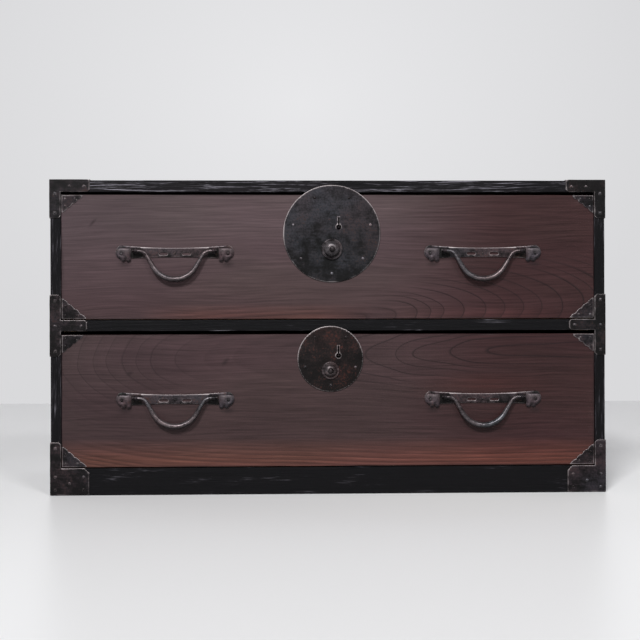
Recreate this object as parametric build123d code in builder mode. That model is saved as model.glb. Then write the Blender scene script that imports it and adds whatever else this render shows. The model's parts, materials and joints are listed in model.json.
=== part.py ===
from build123d import *

import os
from dataclasses import dataclass
from math import cos, radians, sin

os.makedirs("parts", exist_ok=True)

# A two-drawer clothing chest of the isho-dansu kind: a lacquered frame-and-board case, two long
# drawers, round lock plates, bail handles on long backplates, and nailed iron corners.
# Millimetres. +X is to the right, +Y to the back and +Z up; the floor is at Z = 0, and the
# origin is the centre of the whole chest's footprint.

# Case
chest_width = 966.0
case_depth = 416.0
side_thickness = 18.0
top_thickness = 20.0
bottom_thickness = 12.0
bottom_housing = 6.0
bottom_rail_height = 47.0
bottom_rail_depth = 20.0
mid_rail_height = 19.0
mid_rail_depth = 40.0
rail_tenon_length = 8.0
rail_tenon_shoulder = 4.0
shelf_thickness = 9.0
shelf_lap = 10.0
shelf_runner_width = 20.0
shelf_runner_height = 12.0
case_finger_count = 5
back_thickness = 8.0
back_board_count = 4
back_joint = 0.4

# Drawers
upper_front_height = 216.0
lower_front_height = 230.0
upper_head_gap = 5.0
lower_head_gap = 6.0
sill_gap = 1.5
running_gap = 0.3
side_gap = 0.75
front_thickness = 22.0
front_proud = 0.5
front_lap = 12.0
front_ease = 0.8
drawer_side_thickness = 12.0
drawer_back_thickness = 12.0
drawer_bottom_thickness = 8.0
bottom_lap = 8.0
drawer_side_drop = 3.0
drawer_rear_gap = 11.0
drawer_finger_count = 5

# Wooden pegs
peg_radius = 2.0
peg_length = 26.0
drawer_peg_count = 4
back_pegs_per_board = 2

# Iron nails
nail_head_radius = 2.4
nail_head_height = 1.3
nail_shank_radius = 1.0
nail_length = 8.0

# Locks
plate_thickness = 2.0
plate_bevel = 0.7
plate_nail_margin = 16.0
plate_nail_margin_small = 11.5
upper_plate_radius = 85.0
upper_plate_x = 4.5
upper_plate_drop = 68.0
upper_plate_nails = 7
upper_knob_drop = 27.0
upper_key_x = 12.0
upper_key_rise = 12.0
upper_collar_radius = 18.5
upper_dome_radius = 14.0
lower_plate_radius = 57.5
lower_plate_x = 1.5
lower_plate_drop = 43.5
lower_plate_nails = 5
lower_knob_drop = 20.0
lower_key_x = 14.0
lower_key_rise = 6.0
lower_collar_radius = 15.5
lower_dome_radius = 11.5
collar_height = 3.0
dome_height = 8.0
nub_radius = 5.5
nub_neck_share = 0.8
nub_waist_share = 0.4
dome_shoulder_share = 0.82
nub_height = 7.0
spindle_radius = 4.0
spindle_clearance = 0.08
key_hole_radius = 4.4
key_slot_width = 2.6
key_slot_height = 17.0
key_post_radius = 1.5
case_width = 60.0
case_wall = 1.5
case_cover = 2.0
case_foot = 22.0
pocket_depth = 13.0
crank_radius = 14.0
crank_swing = 50.0
crank_thickness = 3.0
crank_width = 11.0
crank_gap = 1.0
pin_radius = 2.2
pin_clearance = 0.3
bolt_width = 20.0
bolt_thickness = 5.0
bolt_gap = 0.5
bolt_tail = 9.0
bolt_set_back = 1.0
bolt_clearance = 0.5
mortise_spare = 3.0
strike_thickness = 1.5
strike_margin = 9.0
strike_lip = 4.0
spring_thickness = 1.0
spring_width = 4.0
spring_foot_x = 18.0
spring_rise = 42.0
spring_gap = 0.3

# Bail handles
handle_inset = 215.0
upper_handle_drop = 98.0
lower_handle_drop = 110.0
post_spacing = 134.0
eye_standoff = 11.0
eye_radius = 6.0
eye_width = 6.0
eye_clearance = 0.1
eye_play = 0.4
post_radius = 2.6
post_collar_radius = 7.0
post_collar_height = 1.5
clinch_height = 1.5
bail_end_radius = 2.25
bail_middle_radius = 3.6
bail_drop = 49.0
bail_lead = 2.0
bail_bend_radius = 16.0
bail_bend_angle = 60.0
bail_tip_radius = 3.3
bail_tip_length = 3.0

# Handle backplates
backplate_thickness = 2.2
backplate_length = 204.0
backplate_lobe_thickness = 4.4
backplate_lobe_length = 26.0
backplate_end_rise = 10.0
backplate_middle_rise = 5.3
backplate_middle_fall = 10.4
backplate_band_fall = 12.4
backplate_lobe_fall = 19.0
backplate_scallop_rise = 0.5
backplate_slot_length = 15.5
backplate_slot_height = 4.6
backplate_slot_x = 20.0
backplate_slot_fall = 4.5
backplate_nail_inset = 10.0

# Drawer corner irons
corner_thickness = 1.4
corner_inset = 1.0
corner_scallops = 4
corner_scallop_depth = 1.6
top_corner_width = 37.0
top_corner_height = 30.0
bottom_corner_width = 42.0
bottom_corner_height = 35.0
corner_nail_inset = 6.0
corner_nail_reach = 0.62

# Frame irons
iron_thickness = 1.8
iron_bend_radius = 1.0
iron_clip = 4.0
iron_flap_depth = 45.0
iron_nail_inset = 9.5
bottom_iron_nail_drop = 14.25
top_iron_width = 68.0
top_iron_height = 66.0
middle_iron_width = 63.0
middle_iron_height = 107.0
bottom_iron_width = 66.0
bottom_iron_height = 92.0
iron_floor_gap = 0.6
iron_flap_nail_y = 32.0

# Levels from the floor
lower_front_z = bottom_rail_height + sill_gap
mid_rail_z = lower_front_z + lower_front_height + lower_head_gap
mid_rail_top = mid_rail_z + mid_rail_height
upper_front_z = mid_rail_top + sill_gap
top_underside = upper_front_z + upper_front_height + upper_head_gap
chest_height = top_underside + top_thickness

# Widths and depths. The knobs reach furthest forward, unless the bails do.
half_width = chest_width / 2
handle_x = half_width - handle_inset
half_inside = half_width - side_thickness
knob_reach = plate_thickness + collar_height + dome_height + nub_height
bail_reach = eye_standoff + max(bail_middle_radius, eye_radius)
front_reach = front_proud + max(knob_reach, bail_reach)
front_y = (front_reach - case_depth - back_thickness) / 2
case_back_y = front_y + case_depth
face_y = front_y - front_proud
front_back_y = face_y + front_thickness
drawer_half_width = half_inside - side_gap
drawer_rear_y = case_back_y - drawer_rear_gap
drawer_inside_half = drawer_half_width - drawer_side_thickness
lap_y = front_back_y - front_lap

# The crank swings evenly about the horizontal and lifts the bolt by this much.
crank_pin_run = crank_radius * cos(radians(crank_swing / 2))
crank_pin_fall = crank_radius * sin(radians(crank_swing / 2))
bolt_lift = 2 * crank_pin_fall
bolt_x = -(crank_radius + crank_pin_run) / 2
pocket_y = front_back_y - pocket_depth
crank_y = pocket_y + crank_gap
bolt_y = crank_y + crank_thickness + bolt_gap


@dataclass
class Drawer:
    """Sizes in which one drawer differs from the other."""

    name: str
    front_z: float
    height: float
    head_gap: float
    plate_radius: float
    plate_margin: float
    plate_nails: int
    lock_x: float
    plate_z: float
    knob_z: float
    key_x: float
    key_z: float
    collar_radius: float
    dome_radius: float
    handle_z: float

    @property
    def top_z(self):
        return self.front_z + self.height

    @property
    def ceiling_z(self):
        return self.top_z + self.head_gap

    @property
    def base_z(self):
        return self.front_z - sill_gap + running_gap

    @property
    def bottom_top_z(self):
        return self.base_z + drawer_bottom_thickness

    @property
    def side_top_z(self):
        return self.top_z - drawer_side_drop


upper_plate_z = upper_front_z + upper_front_height - upper_plate_drop
lower_plate_z = lower_front_z + lower_front_height - lower_plate_drop

upper = Drawer(
    name="upper",
    front_z=upper_front_z,
    height=upper_front_height,
    head_gap=upper_head_gap,
    plate_radius=upper_plate_radius,
    plate_margin=plate_nail_margin,
    plate_nails=upper_plate_nails,
    lock_x=upper_plate_x,
    plate_z=upper_plate_z,
    knob_z=upper_plate_z - upper_knob_drop,
    key_x=upper_plate_x + upper_key_x,
    key_z=upper_plate_z + upper_key_rise,
    collar_radius=upper_collar_radius,
    dome_radius=upper_dome_radius,
    handle_z=upper_front_z + upper_front_height - upper_handle_drop,
)
lower = Drawer(
    name="lower",
    front_z=lower_front_z,
    height=lower_front_height,
    head_gap=lower_head_gap,
    plate_radius=lower_plate_radius,
    plate_margin=plate_nail_margin_small,
    plate_nails=lower_plate_nails,
    lock_x=lower_plate_x,
    plate_z=lower_plate_z,
    knob_z=lower_plate_z - lower_knob_drop,
    key_x=lower_plate_x + lower_key_x,
    key_z=lower_plate_z + lower_key_rise,
    collar_radius=lower_collar_radius,
    dome_radius=lower_dome_radius,
    handle_z=lower_front_z + lower_front_height - lower_handle_drop,
)


def facing_front(y):
    """Plane at this Y with sketch axes X and Z and its normal to the front."""
    return Plane(origin=(0, y, 0), x_dir=(1, 0, 0), z_dir=(0, -1, 0))


def block(low, high, mode=Mode.ADD):
    """Box between two opposite corners."""
    size = [top - bottom for bottom, top in zip(low, high)]
    with Locations(low):
        Box(*size, align=(Align.MIN, Align.MIN, Align.MIN), mode=mode)


def seats(points, outward):
    """Places for nails or pegs, each with its local Z along the outward direction."""
    return [Plane(origin=point, z_dir=outward).location for point in points]


def mirrored(points):
    """The points and their mirror images in the middle plane of the chest."""
    return points + [(-x, y, z) for x, y, z in points]


def drill(places, radius, depth):
    """Holes into the part being built, from each place inwards."""
    with Locations(*places):
        Cylinder(radius, depth, align=(Align.CENTER, Align.CENTER, Align.MAX), mode=Mode.SUBTRACT)


def save(piece, name):
    piece.label = name
    export_step(piece, f"parts/{name}.step")


# Places of the nails in the frame irons, on the left half and mirrored


def frame_nail_seats():
    edge_x = -half_width + iron_nail_inset - iron_thickness
    iron_front_y = front_y - iron_thickness
    top_z = chest_height - top_thickness / 2
    mid_z = mid_rail_z + mid_rail_height / 2
    mid_reach = middle_iron_height / 2 - iron_nail_inset
    low_z = iron_nail_inset + iron_floor_gap
    high_z = bottom_rail_height - bottom_iron_nail_drop
    top_end_x = -half_width + top_iron_width - iron_nail_inset
    mid_end_x = -half_width + middle_iron_width - iron_nail_inset
    bottom_end_x = -half_width + bottom_iron_width - iron_nail_inset
    front = [
        (edge_x, iron_front_y, top_underside - nail_head_radius),
        (edge_x, iron_front_y, chest_height - top_iron_height + iron_nail_inset),
        (top_end_x, iron_front_y, top_z),
        ((edge_x + top_end_x) / 2, iron_front_y, top_z),
        (edge_x, iron_front_y, mid_z + mid_reach),
        (edge_x, iron_front_y, mid_z),
        (edge_x, iron_front_y, mid_z - mid_reach),
        (mid_end_x, iron_front_y, mid_z),
        (edge_x, iron_front_y, bottom_iron_height - iron_nail_inset),
        (edge_x, iron_front_y, high_z),
        (edge_x, iron_front_y, low_z),
        (bottom_end_x, iron_front_y, high_z),
        (bottom_end_x, iron_front_y, low_z),
        ((edge_x + bottom_end_x) / 2, iron_front_y, (low_z + high_z) / 2),
    ]
    flap_y = front_y + iron_flap_nail_y
    side = [
        (-half_width - iron_thickness, flap_y, height)
        for height in (
            top_underside - iron_nail_inset,
            chest_height - top_iron_height + iron_nail_inset,
            mid_z + mid_reach,
            mid_z - mid_reach,
            bottom_iron_height - iron_nail_inset,
            low_z,
        )
    ]
    top = [
        (top_end_x, flap_y, chest_height + iron_thickness),
        (-half_width + iron_nail_inset, flap_y, chest_height + iron_thickness),
    ]
    right = [(-x, y, z) for x, y, z in side]
    places = seats(mirrored(front), (0, -1, 0)) + seats(side, (-1, 0, 0))
    return places + seats(right, (1, 0, 0)) + seats(mirrored(top), (0, 0, 1))


frame_seats = frame_nail_seats()


def back_peg_seats():
    """Pegs through the back boards into the rear edges of the side panels."""
    board_height = chest_height / back_board_count
    step = board_height / back_pegs_per_board
    count = back_board_count * back_pegs_per_board
    x = -half_width + side_thickness / 2
    heights = [step * (number + 0.5) for number in range(count)]
    usable = [height for height in heights if height < top_underside - peg_radius]
    points = [(x, case_back_y + back_thickness, height) for height in usable]
    return seats(mirrored(points), (0, 1, 0))


back_seats = back_peg_seats()

# Strikes and mortises above the two lock bolts


def bolt_mortise(drawer):
    """Recess for a strike plate and the mortise that the bolt rises into."""
    underside = drawer.ceiling_z
    mortise_depth = bolt_lift - bolt_set_back - drawer.head_gap + mortise_spare
    x = drawer.lock_x + bolt_x
    low_x = x - bolt_width / 2
    high_x = x + bolt_width / 2
    low_y = bolt_y - bolt_clearance
    high_y = bolt_y + bolt_thickness + bolt_clearance
    block(
        (low_x - bolt_clearance, low_y, underside),
        (high_x + bolt_clearance, high_y, underside + mortise_depth),
        mode=Mode.SUBTRACT,
    )
    block(
        (low_x - strike_margin, low_y - strike_lip, underside),
        (high_x + strike_margin, high_y + strike_lip, underside + strike_thickness),
        mode=Mode.SUBTRACT,
    )


def strike_plate(drawer):
    x = drawer.lock_x + bolt_x
    y = bolt_y + bolt_thickness / 2
    slot_length = bolt_width + 2 * bolt_clearance
    slot_width = bolt_thickness + 2 * bolt_clearance
    with BuildSketch(Plane.XY.offset(drawer.ceiling_z)) as outline:
        with Locations((x, y)):
            Rectangle(bolt_width + 2 * strike_margin, slot_width + 2 * strike_lip)
            Rectangle(slot_length, slot_width, mode=Mode.SUBTRACT)
    extrude(outline.sketch, amount=strike_thickness)


# Case

case_finger = case_depth / case_finger_count
side_fingers = [front_y + case_finger * number for number in range(1, case_finger_count, 2)]


def rail_tenon(x_low, x_high, z_low, z_high, depth, mode):
    """Stub tenon of a front rail, or the mortise for it."""
    shoulder = rail_tenon_shoulder
    low = (x_low, front_y + shoulder, z_low + shoulder)
    high = (x_high, front_y + depth - shoulder, z_high - shoulder)
    block(low, high, mode=mode)


with BuildPart() as left_side:
    with BuildSketch(Plane.YZ.offset(-half_width)):
        with Locations((front_y, 0)):
            Rectangle(case_depth, top_underside, align=(Align.MIN, Align.MIN))
        with Locations(*[(y, top_underside) for y in side_fingers]):
            Rectangle(case_finger, top_thickness, align=(Align.MIN, Align.MIN))
    extrude(amount=side_thickness)
    block(
        (-half_inside - bottom_housing, front_y + bottom_rail_depth, bottom_rail_height - bottom_thickness),
        (-half_inside, case_back_y, bottom_rail_height),
        mode=Mode.SUBTRACT,
    )
    mortise_x = -half_inside - rail_tenon_length
    rail_tenon(mortise_x, -half_inside, mid_rail_z, mid_rail_top, mid_rail_depth, Mode.SUBTRACT)
    rail_tenon(mortise_x, -half_inside, 0, bottom_rail_height, bottom_rail_depth, Mode.SUBTRACT)
    drill(frame_seats, nail_shank_radius, nail_length)
    drill(back_seats, peg_radius, peg_length)
save(left_side.part, "left_side_panel")
save(mirror(left_side.part, about=Plane.YZ), "right_side_panel")

with BuildPart() as top_board:
    with BuildSketch(Plane.XY.offset(top_underside)):
        with Locations((0, front_y)):
            Rectangle(chest_width, case_depth, align=(Align.CENTER, Align.MIN))
        notch_x = half_width - side_thickness / 2
        with Locations(*[(side * notch_x, y) for y in side_fingers for side in (-1, 1)]):
            Rectangle(side_thickness, case_finger, align=(Align.CENTER, Align.MIN), mode=Mode.SUBTRACT)
    extrude(amount=top_thickness)
    bolt_mortise(upper)
    drill(frame_seats, nail_shank_radius, nail_length)
save(top_board.part, "top_board")

with BuildPart() as bottom_board:
    block(
        (-half_inside - bottom_housing, front_y + bottom_rail_depth, bottom_rail_height - bottom_thickness),
        (half_inside + bottom_housing, case_back_y, bottom_rail_height),
    )
save(bottom_board.part, "bottom_board")

with BuildPart() as bottom_rail:
    with BuildSketch(facing_front(front_y + bottom_rail_depth)):
        Rectangle(2 * half_inside, bottom_rail_height, align=(Align.CENTER, Align.MIN))
    extrude(amount=bottom_rail_depth)
    tenon_x = half_inside + rail_tenon_length
    rail_tenon(-tenon_x, tenon_x, 0, bottom_rail_height, bottom_rail_depth, Mode.ADD)
    drill(frame_seats, nail_shank_radius, nail_length)
save(bottom_rail.part, "bottom_rail")

with BuildPart() as mid_rail:
    with BuildSketch(facing_front(front_y + mid_rail_depth)):
        with Locations((0, mid_rail_z)):
            Rectangle(2 * half_inside, mid_rail_height, align=(Align.CENTER, Align.MIN))
    extrude(amount=mid_rail_depth)
    rail_tenon(-tenon_x, tenon_x, mid_rail_z, mid_rail_top, mid_rail_depth, Mode.ADD)
    block(
        (-tenon_x, front_y + mid_rail_depth - shelf_lap, mid_rail_top - shelf_thickness),
        (tenon_x, front_y + mid_rail_depth, mid_rail_top),
        mode=Mode.SUBTRACT,
    )
    bolt_mortise(lower)
    drill(frame_seats, nail_shank_radius, nail_length)
save(mid_rail.part, "mid_rail")

with BuildPart() as shelf:
    block(
        (-half_inside, front_y + mid_rail_depth - shelf_lap, mid_rail_top - shelf_thickness),
        (half_inside, case_back_y, mid_rail_top),
    )
save(shelf.part, "dust_board")

with BuildPart() as shelf_runner:
    runner_top = mid_rail_top - shelf_thickness
    block(
        (-half_inside, front_y + mid_rail_depth, runner_top - shelf_runner_height),
        (-half_inside + shelf_runner_width, case_back_y, runner_top),
    )
save(shelf_runner.part, "left_shelf_runner")
save(mirror(shelf_runner.part, about=Plane.YZ), "right_shelf_runner")

with BuildPart() as back_boards:
    back_pitch = (chest_height + back_joint) / back_board_count
    with BuildSketch(facing_front(case_back_y + back_thickness)):
        with Locations(*[(0, back_pitch * number) for number in range(back_board_count)]):
            Rectangle(chest_width, back_pitch - back_joint, align=(Align.CENTER, Align.MIN))
    extrude(amount=back_thickness)
    drill(back_seats, peg_radius, peg_length)
save(back_boards.part, "back_boards")

with BuildPart() as back_pegs:
    with Locations(*back_seats):
        Cylinder(peg_radius, peg_length, align=(Align.CENTER, Align.CENTER, Align.MAX))
save(back_pegs.part, "back_board_pegs")

with BuildPart() as strike_plates:
    strike_plate(upper)
    strike_plate(lower)
save(strike_plates.part, "strike_plates")

# Nail: a domed head on a plain shank, its seat at local Z = 0

with BuildPart() as nail:
    with BuildSketch(Plane.XZ):
        with BuildLine():
            Polyline(
                (0, nail_head_height),
                (0, -nail_length),
                (nail_shank_radius, -nail_length),
                (nail_shank_radius, 0),
                (nail_head_radius, 0),
            )
            TangentArc((0, nail_head_height), (nail_head_radius, 0), tangent=(1, 0))
        make_face()
    revolve(axis=Axis.Z)


def nails(places):
    with BuildPart() as driven:
        with Locations(*places):
            add(nail.part)
    return driven.part


save(nails(frame_seats), "frame_iron_nails")

# Frame irons: bent plates on the left front edge, and their mirror images


def bend_outer_edges(iron, over_top):
    """Round the outer bends: the upright one, and the two along the top where the iron goes over it."""
    box = iron.part.bounding_box()
    chosen = []
    for edge in iron.edges():
        middle = edge @ 0.5
        planes = [
            abs(middle.X - box.min.X) < 0.01,
            abs(middle.Y - box.min.Y) < 0.01,
            over_top and abs(middle.Z - box.max.Z) < 0.01,
        ]
        if sum(planes) == 2 and edge.geom_type == GeomType.LINE:
            chosen.append(edge)
    fillet(chosen, radius=iron_bend_radius)


def iron_front(points):
    """The plate on the front of the case, from its outline in X and Z."""
    with BuildSketch(facing_front(front_y)) as outline:
        with BuildLine():
            Polyline(*points, close=True)
        make_face()
    extrude(outline.sketch, amount=iron_thickness)


outer_x = -half_width - iron_thickness
stile_x = -half_inside

with BuildPart() as top_iron:
    top_iron_x = -half_width + top_iron_width
    top_iron_z = chest_height - top_iron_height
    iron_front(
        [
            (outer_x, chest_height + iron_thickness),
            (top_iron_x, chest_height + iron_thickness),
            (top_iron_x, top_underside + iron_clip),
            (top_iron_x - iron_clip, top_underside),
            (stile_x, top_underside),
            (stile_x, top_iron_z + iron_clip),
            (stile_x - iron_clip, top_iron_z),
            (outer_x, top_iron_z),
        ]
    )
    block(
        (outer_x, front_y - iron_thickness, top_iron_z),
        (-half_width, front_y + iron_flap_depth, chest_height + iron_thickness),
    )
    block(
        (outer_x, front_y - iron_thickness, chest_height),
        (top_iron_x, front_y + iron_flap_depth, chest_height + iron_thickness),
    )
    bend_outer_edges(top_iron, over_top=True)
    drill(frame_seats, nail_shank_radius, nail_length)

with BuildPart() as middle_iron:
    middle_z = mid_rail_z + mid_rail_height / 2
    middle_top = middle_z + middle_iron_height / 2
    middle_foot = middle_z - middle_iron_height / 2
    middle_iron_x = -half_width + middle_iron_width
    iron_front(
        [
            (outer_x, middle_top),
            (stile_x - iron_clip, middle_top),
            (stile_x, middle_top - iron_clip),
            (stile_x, mid_rail_top),
            (middle_iron_x - iron_clip, mid_rail_top),
            (middle_iron_x, mid_rail_top - iron_clip),
            (middle_iron_x, mid_rail_z + iron_clip),
            (middle_iron_x - iron_clip, mid_rail_z),
            (stile_x, mid_rail_z),
            (stile_x, middle_foot + iron_clip),
            (stile_x - iron_clip, middle_foot),
            (outer_x, middle_foot),
        ]
    )
    block(
        (outer_x, front_y - iron_thickness, middle_foot),
        (-half_width, front_y + iron_flap_depth, middle_top),
    )
    bend_outer_edges(middle_iron, over_top=False)
    drill(frame_seats, nail_shank_radius, nail_length)

with BuildPart() as bottom_iron:
    bottom_iron_x = -half_width + bottom_iron_width
    iron_front(
        [
            (outer_x, bottom_iron_height),
            (stile_x - iron_clip, bottom_iron_height),
            (stile_x, bottom_iron_height - iron_clip),
            (stile_x, bottom_rail_height),
            (bottom_iron_x - 2 * iron_clip, bottom_rail_height),
            (bottom_iron_x, bottom_rail_height - 2 * iron_clip),
            (bottom_iron_x, iron_floor_gap),
            (outer_x, iron_floor_gap),
        ]
    )
    block(
        (outer_x, front_y - iron_thickness, iron_floor_gap),
        (-half_width, front_y + iron_flap_depth, bottom_iron_height),
    )
    bend_outer_edges(bottom_iron, over_top=False)
    drill(frame_seats, nail_shank_radius, nail_length)

for iron, level in ((top_iron, "top"), (middle_iron, "middle"), (bottom_iron, "bottom")):
    save(iron.part, f"{level}_left_frame_iron")
    save(mirror(iron.part, about=Plane.YZ), f"{level}_right_frame_iron")

# Drawers


def corner_reach(drawer, side, top):
    """Corner of a drawer's front, with its iron's signed width and height from there."""
    width = top_corner_width if top else bottom_corner_width
    height = top_corner_height if top else bottom_corner_height
    x = side * (drawer_half_width - corner_inset)
    z = drawer.top_z - corner_inset if top else drawer.front_z + corner_inset
    return x, z, -side * width, -height if top else height


corners = [(side, top) for side in (-1, 1) for top in (True, False)]


def drawer_nail_seats(drawer):
    plate_y = face_y - plate_thickness
    ring = drawer.plate_radius - drawer.plate_margin
    spots = PolarLocations(ring, drawer.plate_nails, start_angle=270).local_locations
    points = [
        (drawer.lock_x + spot.position.X, plate_y, drawer.plate_z + spot.position.Y) for spot in spots
    ]
    lobe_y = face_y - backplate_lobe_thickness
    lobe_x = backplate_length / 2 - backplate_nail_inset
    nail_z = drawer.handle_z - backplate_slot_fall
    for x in (-handle_x, handle_x):
        points.append((x - lobe_x, lobe_y, nail_z))
        points.append((x + lobe_x, lobe_y, nail_z))
        points.append((x, face_y - backplate_thickness, nail_z))
    iron_y = face_y - corner_thickness
    inset = corner_nail_inset
    for side, top in corners:
        x, z, width, height = corner_reach(drawer, side, top)
        inward = 1 if width > 0 else -1
        upward = 1 if height > 0 else -1
        points.append((x + inward * inset, iron_y, z + upward * inset))
        points.append((x + width * corner_nail_reach, iron_y, z + upward * inset))
        points.append((x + inward * inset, iron_y, z + height * corner_nail_reach))
    return seats(points, (0, -1, 0))


def post_places(drawer):
    half = post_spacing / 2
    return [(x + offset, drawer.handle_z) for x in (-handle_x, handle_x) for offset in (-half, half)]


def drawer_peg_seats(drawer):
    """Pegs through the drawer sides into the ends of the front."""
    run = drawer.side_top_z - drawer.bottom_top_z
    y = front_back_y - front_lap / 2
    points = [
        (-drawer_half_width, y, drawer.bottom_top_z + run * (number + 0.5) / drawer_peg_count)
        for number in range(drawer_peg_count)
    ]
    right = [(-x, y, z) for x, y, z in points]
    return seats(points, (-1, 0, 0)) + seats(right, (1, 0, 0))


def pocket_corners(drawer):
    """Opposite corners of the lock's pocket in the back of a drawer's front."""
    low = (drawer.lock_x - case_width / 2, pocket_y, drawer.knob_z - case_foot)
    high = (drawer.lock_x + case_width / 2, front_back_y, drawer.top_z)
    return low, high


def key_hole(drawer, depth):
    """Round keyhole with a slot above it, through the part being built."""
    with BuildSketch(facing_front(face_y + depth)) as outline:
        with Locations((drawer.key_x, drawer.key_z)):
            Circle(key_hole_radius)
            Rectangle(key_slot_width, key_slot_height, align=(Align.CENTER, Align.MIN))
    extrude(outline.sketch, amount=depth + plate_thickness, mode=Mode.SUBTRACT)


def drawer_front(drawer):
    with BuildPart() as front:
        with BuildSketch(facing_front(front_back_y)):
            with Locations((0, drawer.front_z)):
                Rectangle(2 * drawer_half_width, drawer.height, align=(Align.CENTER, Align.MIN))
        extrude(amount=front_thickness)
        chamfer(front.faces().sort_by(Axis.Y)[0].edges(), length=front_ease)
        for side in (-1, 1):
            ends = sorted((side * drawer_inside_half, side * drawer_half_width))
            block(
                (ends[0], lap_y, drawer.bottom_top_z),
                (ends[1], front_back_y, drawer.top_z),
                mode=Mode.SUBTRACT,
            )
        block(
            (-drawer_half_width, front_back_y - bottom_lap, drawer.front_z),
            (drawer_half_width, front_back_y, drawer.bottom_top_z),
            mode=Mode.SUBTRACT,
        )
        low, high = pocket_corners(drawer)
        block(low, high, mode=Mode.SUBTRACT)
        key_hole(drawer, front_thickness)
        with BuildSketch(facing_front(front_back_y)):
            with Locations((drawer.lock_x, drawer.knob_z)):
                Circle(spindle_radius + bolt_clearance)
            with Locations(*post_places(drawer)):
                Circle(post_radius)
        extrude(amount=front_thickness, mode=Mode.SUBTRACT)
        drill(drawer_nail_seats(drawer), nail_shank_radius, nail_length)
        drill(drawer_peg_seats(drawer), peg_radius, peg_length)
    return front.part


def rear_fingers(drawer):
    """Heights of the fingers that the drawer's back sends through its sides."""
    pitch = (drawer.side_top_z - drawer.bottom_top_z) / drawer_finger_count
    return pitch, [drawer.bottom_top_z + pitch * number for number in range(0, drawer_finger_count, 2)]


def drawer_side(drawer):
    with BuildPart() as side:
        block(
            (-drawer_half_width, lap_y, drawer.bottom_top_z),
            (-drawer_inside_half, drawer_rear_y, drawer.side_top_z),
        )
        pitch, levels = rear_fingers(drawer)
        for level in levels:
            block(
                (-drawer_half_width, drawer_rear_y - drawer_back_thickness, level),
                (-drawer_inside_half, drawer_rear_y, level + pitch),
                mode=Mode.SUBTRACT,
            )
        drill(drawer_peg_seats(drawer), peg_radius, peg_length)
    return side.part


def drawer_back(drawer):
    with BuildPart() as back:
        block(
            (-drawer_inside_half, drawer_rear_y - drawer_back_thickness, drawer.bottom_top_z),
            (drawer_inside_half, drawer_rear_y, drawer.side_top_z),
        )
        pitch, levels = rear_fingers(drawer)
        for level in levels:
            block(
                (-drawer_half_width, drawer_rear_y - drawer_back_thickness, level),
                (drawer_half_width, drawer_rear_y, level + pitch),
            )
    return back.part


def drawer_bottom(drawer):
    with BuildPart() as bottom:
        block(
            (-drawer_half_width, front_back_y - bottom_lap, drawer.base_z),
            (drawer_half_width, drawer_rear_y, drawer.bottom_top_z),
        )
    return bottom.part


def drawer_pegs(drawer):
    with BuildPart() as pegs:
        with Locations(*drawer_peg_seats(drawer)):
            Cylinder(peg_radius, peg_length, align=(Align.CENTER, Align.CENTER, Align.MAX))
    return pegs.part


# Locks


def lock_plate(drawer):
    with BuildPart() as plate:
        with BuildSketch(facing_front(face_y)):
            with Locations((drawer.lock_x, drawer.plate_z)):
                Circle(drawer.plate_radius)
        extrude(amount=plate_thickness)
        chamfer(plate.faces().sort_by(Axis.Y)[0].edges(), length=plate_bevel)
        key_hole(drawer, 0)
        with BuildSketch(facing_front(face_y)):
            with Locations((drawer.lock_x, drawer.knob_z)):
                Circle(spindle_radius + bolt_clearance)
        extrude(amount=plate_thickness, mode=Mode.SUBTRACT)
        drill(drawer_nail_seats(drawer), nail_shank_radius, nail_length)
    return plate.part


def knob_profile_plane(drawer, y):
    """Half-section plane of the knob: sketch X is the radius, sketch Y points to the front."""
    return Plane(origin=(drawer.lock_x, y, drawer.knob_z), x_dir=(1, 0, 0), z_dir=(0, 0, -1))


def knob_axis(drawer):
    return Axis((drawer.lock_x, 0, drawer.knob_z), (0, -1, 0))


def knob_collar(drawer):
    bore = spindle_radius + spindle_clearance
    rim = drawer.collar_radius
    with BuildPart() as collar:
        with BuildSketch(knob_profile_plane(drawer, face_y - plate_thickness)):
            with BuildLine():
                Polyline((rim, collar_height / 2), (rim, 0), (bore, 0), (bore, collar_height))
                Line((bore, collar_height), (rim - collar_height / 2, collar_height))
                RadiusArc(
                    (rim - collar_height / 2, collar_height),
                    (rim, collar_height / 2),
                    collar_height / 2,
                )
            make_face()
        revolve(axis=knob_axis(drawer))
    return collar.part


def lock_knob(drawer):
    seat_y = face_y - plate_thickness - collar_height
    spindle_length = crank_y + crank_thickness - seat_y
    dome = drawer.dome_radius
    rim = dome_height / 4
    neck = nub_radius * nub_neck_share
    shoulder = ((dome + nub_radius) / 2, dome_height * dome_shoulder_share)
    nub_waist = dome_height + nub_height * nub_waist_share
    nub_top = dome_height + nub_height
    with BuildPart() as knob:
        with BuildSketch(knob_profile_plane(drawer, seat_y)):
            with BuildLine():
                Polyline((0, nub_top), (0, -spindle_length), (spindle_radius, -spindle_length))
                Polyline((spindle_radius, -spindle_length), (spindle_radius, 0), (dome, 0), (dome, rim))
                ThreePointArc((dome, rim), shoulder, (neck, dome_height))
                Line((neck, dome_height), (nub_radius, nub_waist))
                TangentArc((0, nub_top), (nub_radius, nub_waist), tangent=(1, 0))
            make_face()
        revolve(axis=knob_axis(drawer))
    return knob.part


def lock_crank(drawer):
    half_swing = crank_swing / 2
    with BuildPart() as crank:
        with BuildSketch(facing_front(crank_y + crank_thickness)):
            with Locations(
                (drawer.lock_x - crank_pin_run / 2, drawer.knob_z - crank_pin_fall / 2),
            ):
                SlotCenterToCenter(crank_radius, crank_width, rotation=half_swing)
            with Locations((drawer.lock_x, drawer.knob_z)):
                Circle(spindle_radius, mode=Mode.SUBTRACT)
        extrude(amount=crank_thickness)
        with BuildSketch(facing_front(crank_y + crank_thickness)):
            with Locations((drawer.lock_x - crank_pin_run, drawer.knob_z - crank_pin_fall)):
                Circle(pin_radius)
        extrude(amount=-(bolt_gap + bolt_thickness))
    return crank.part


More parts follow.
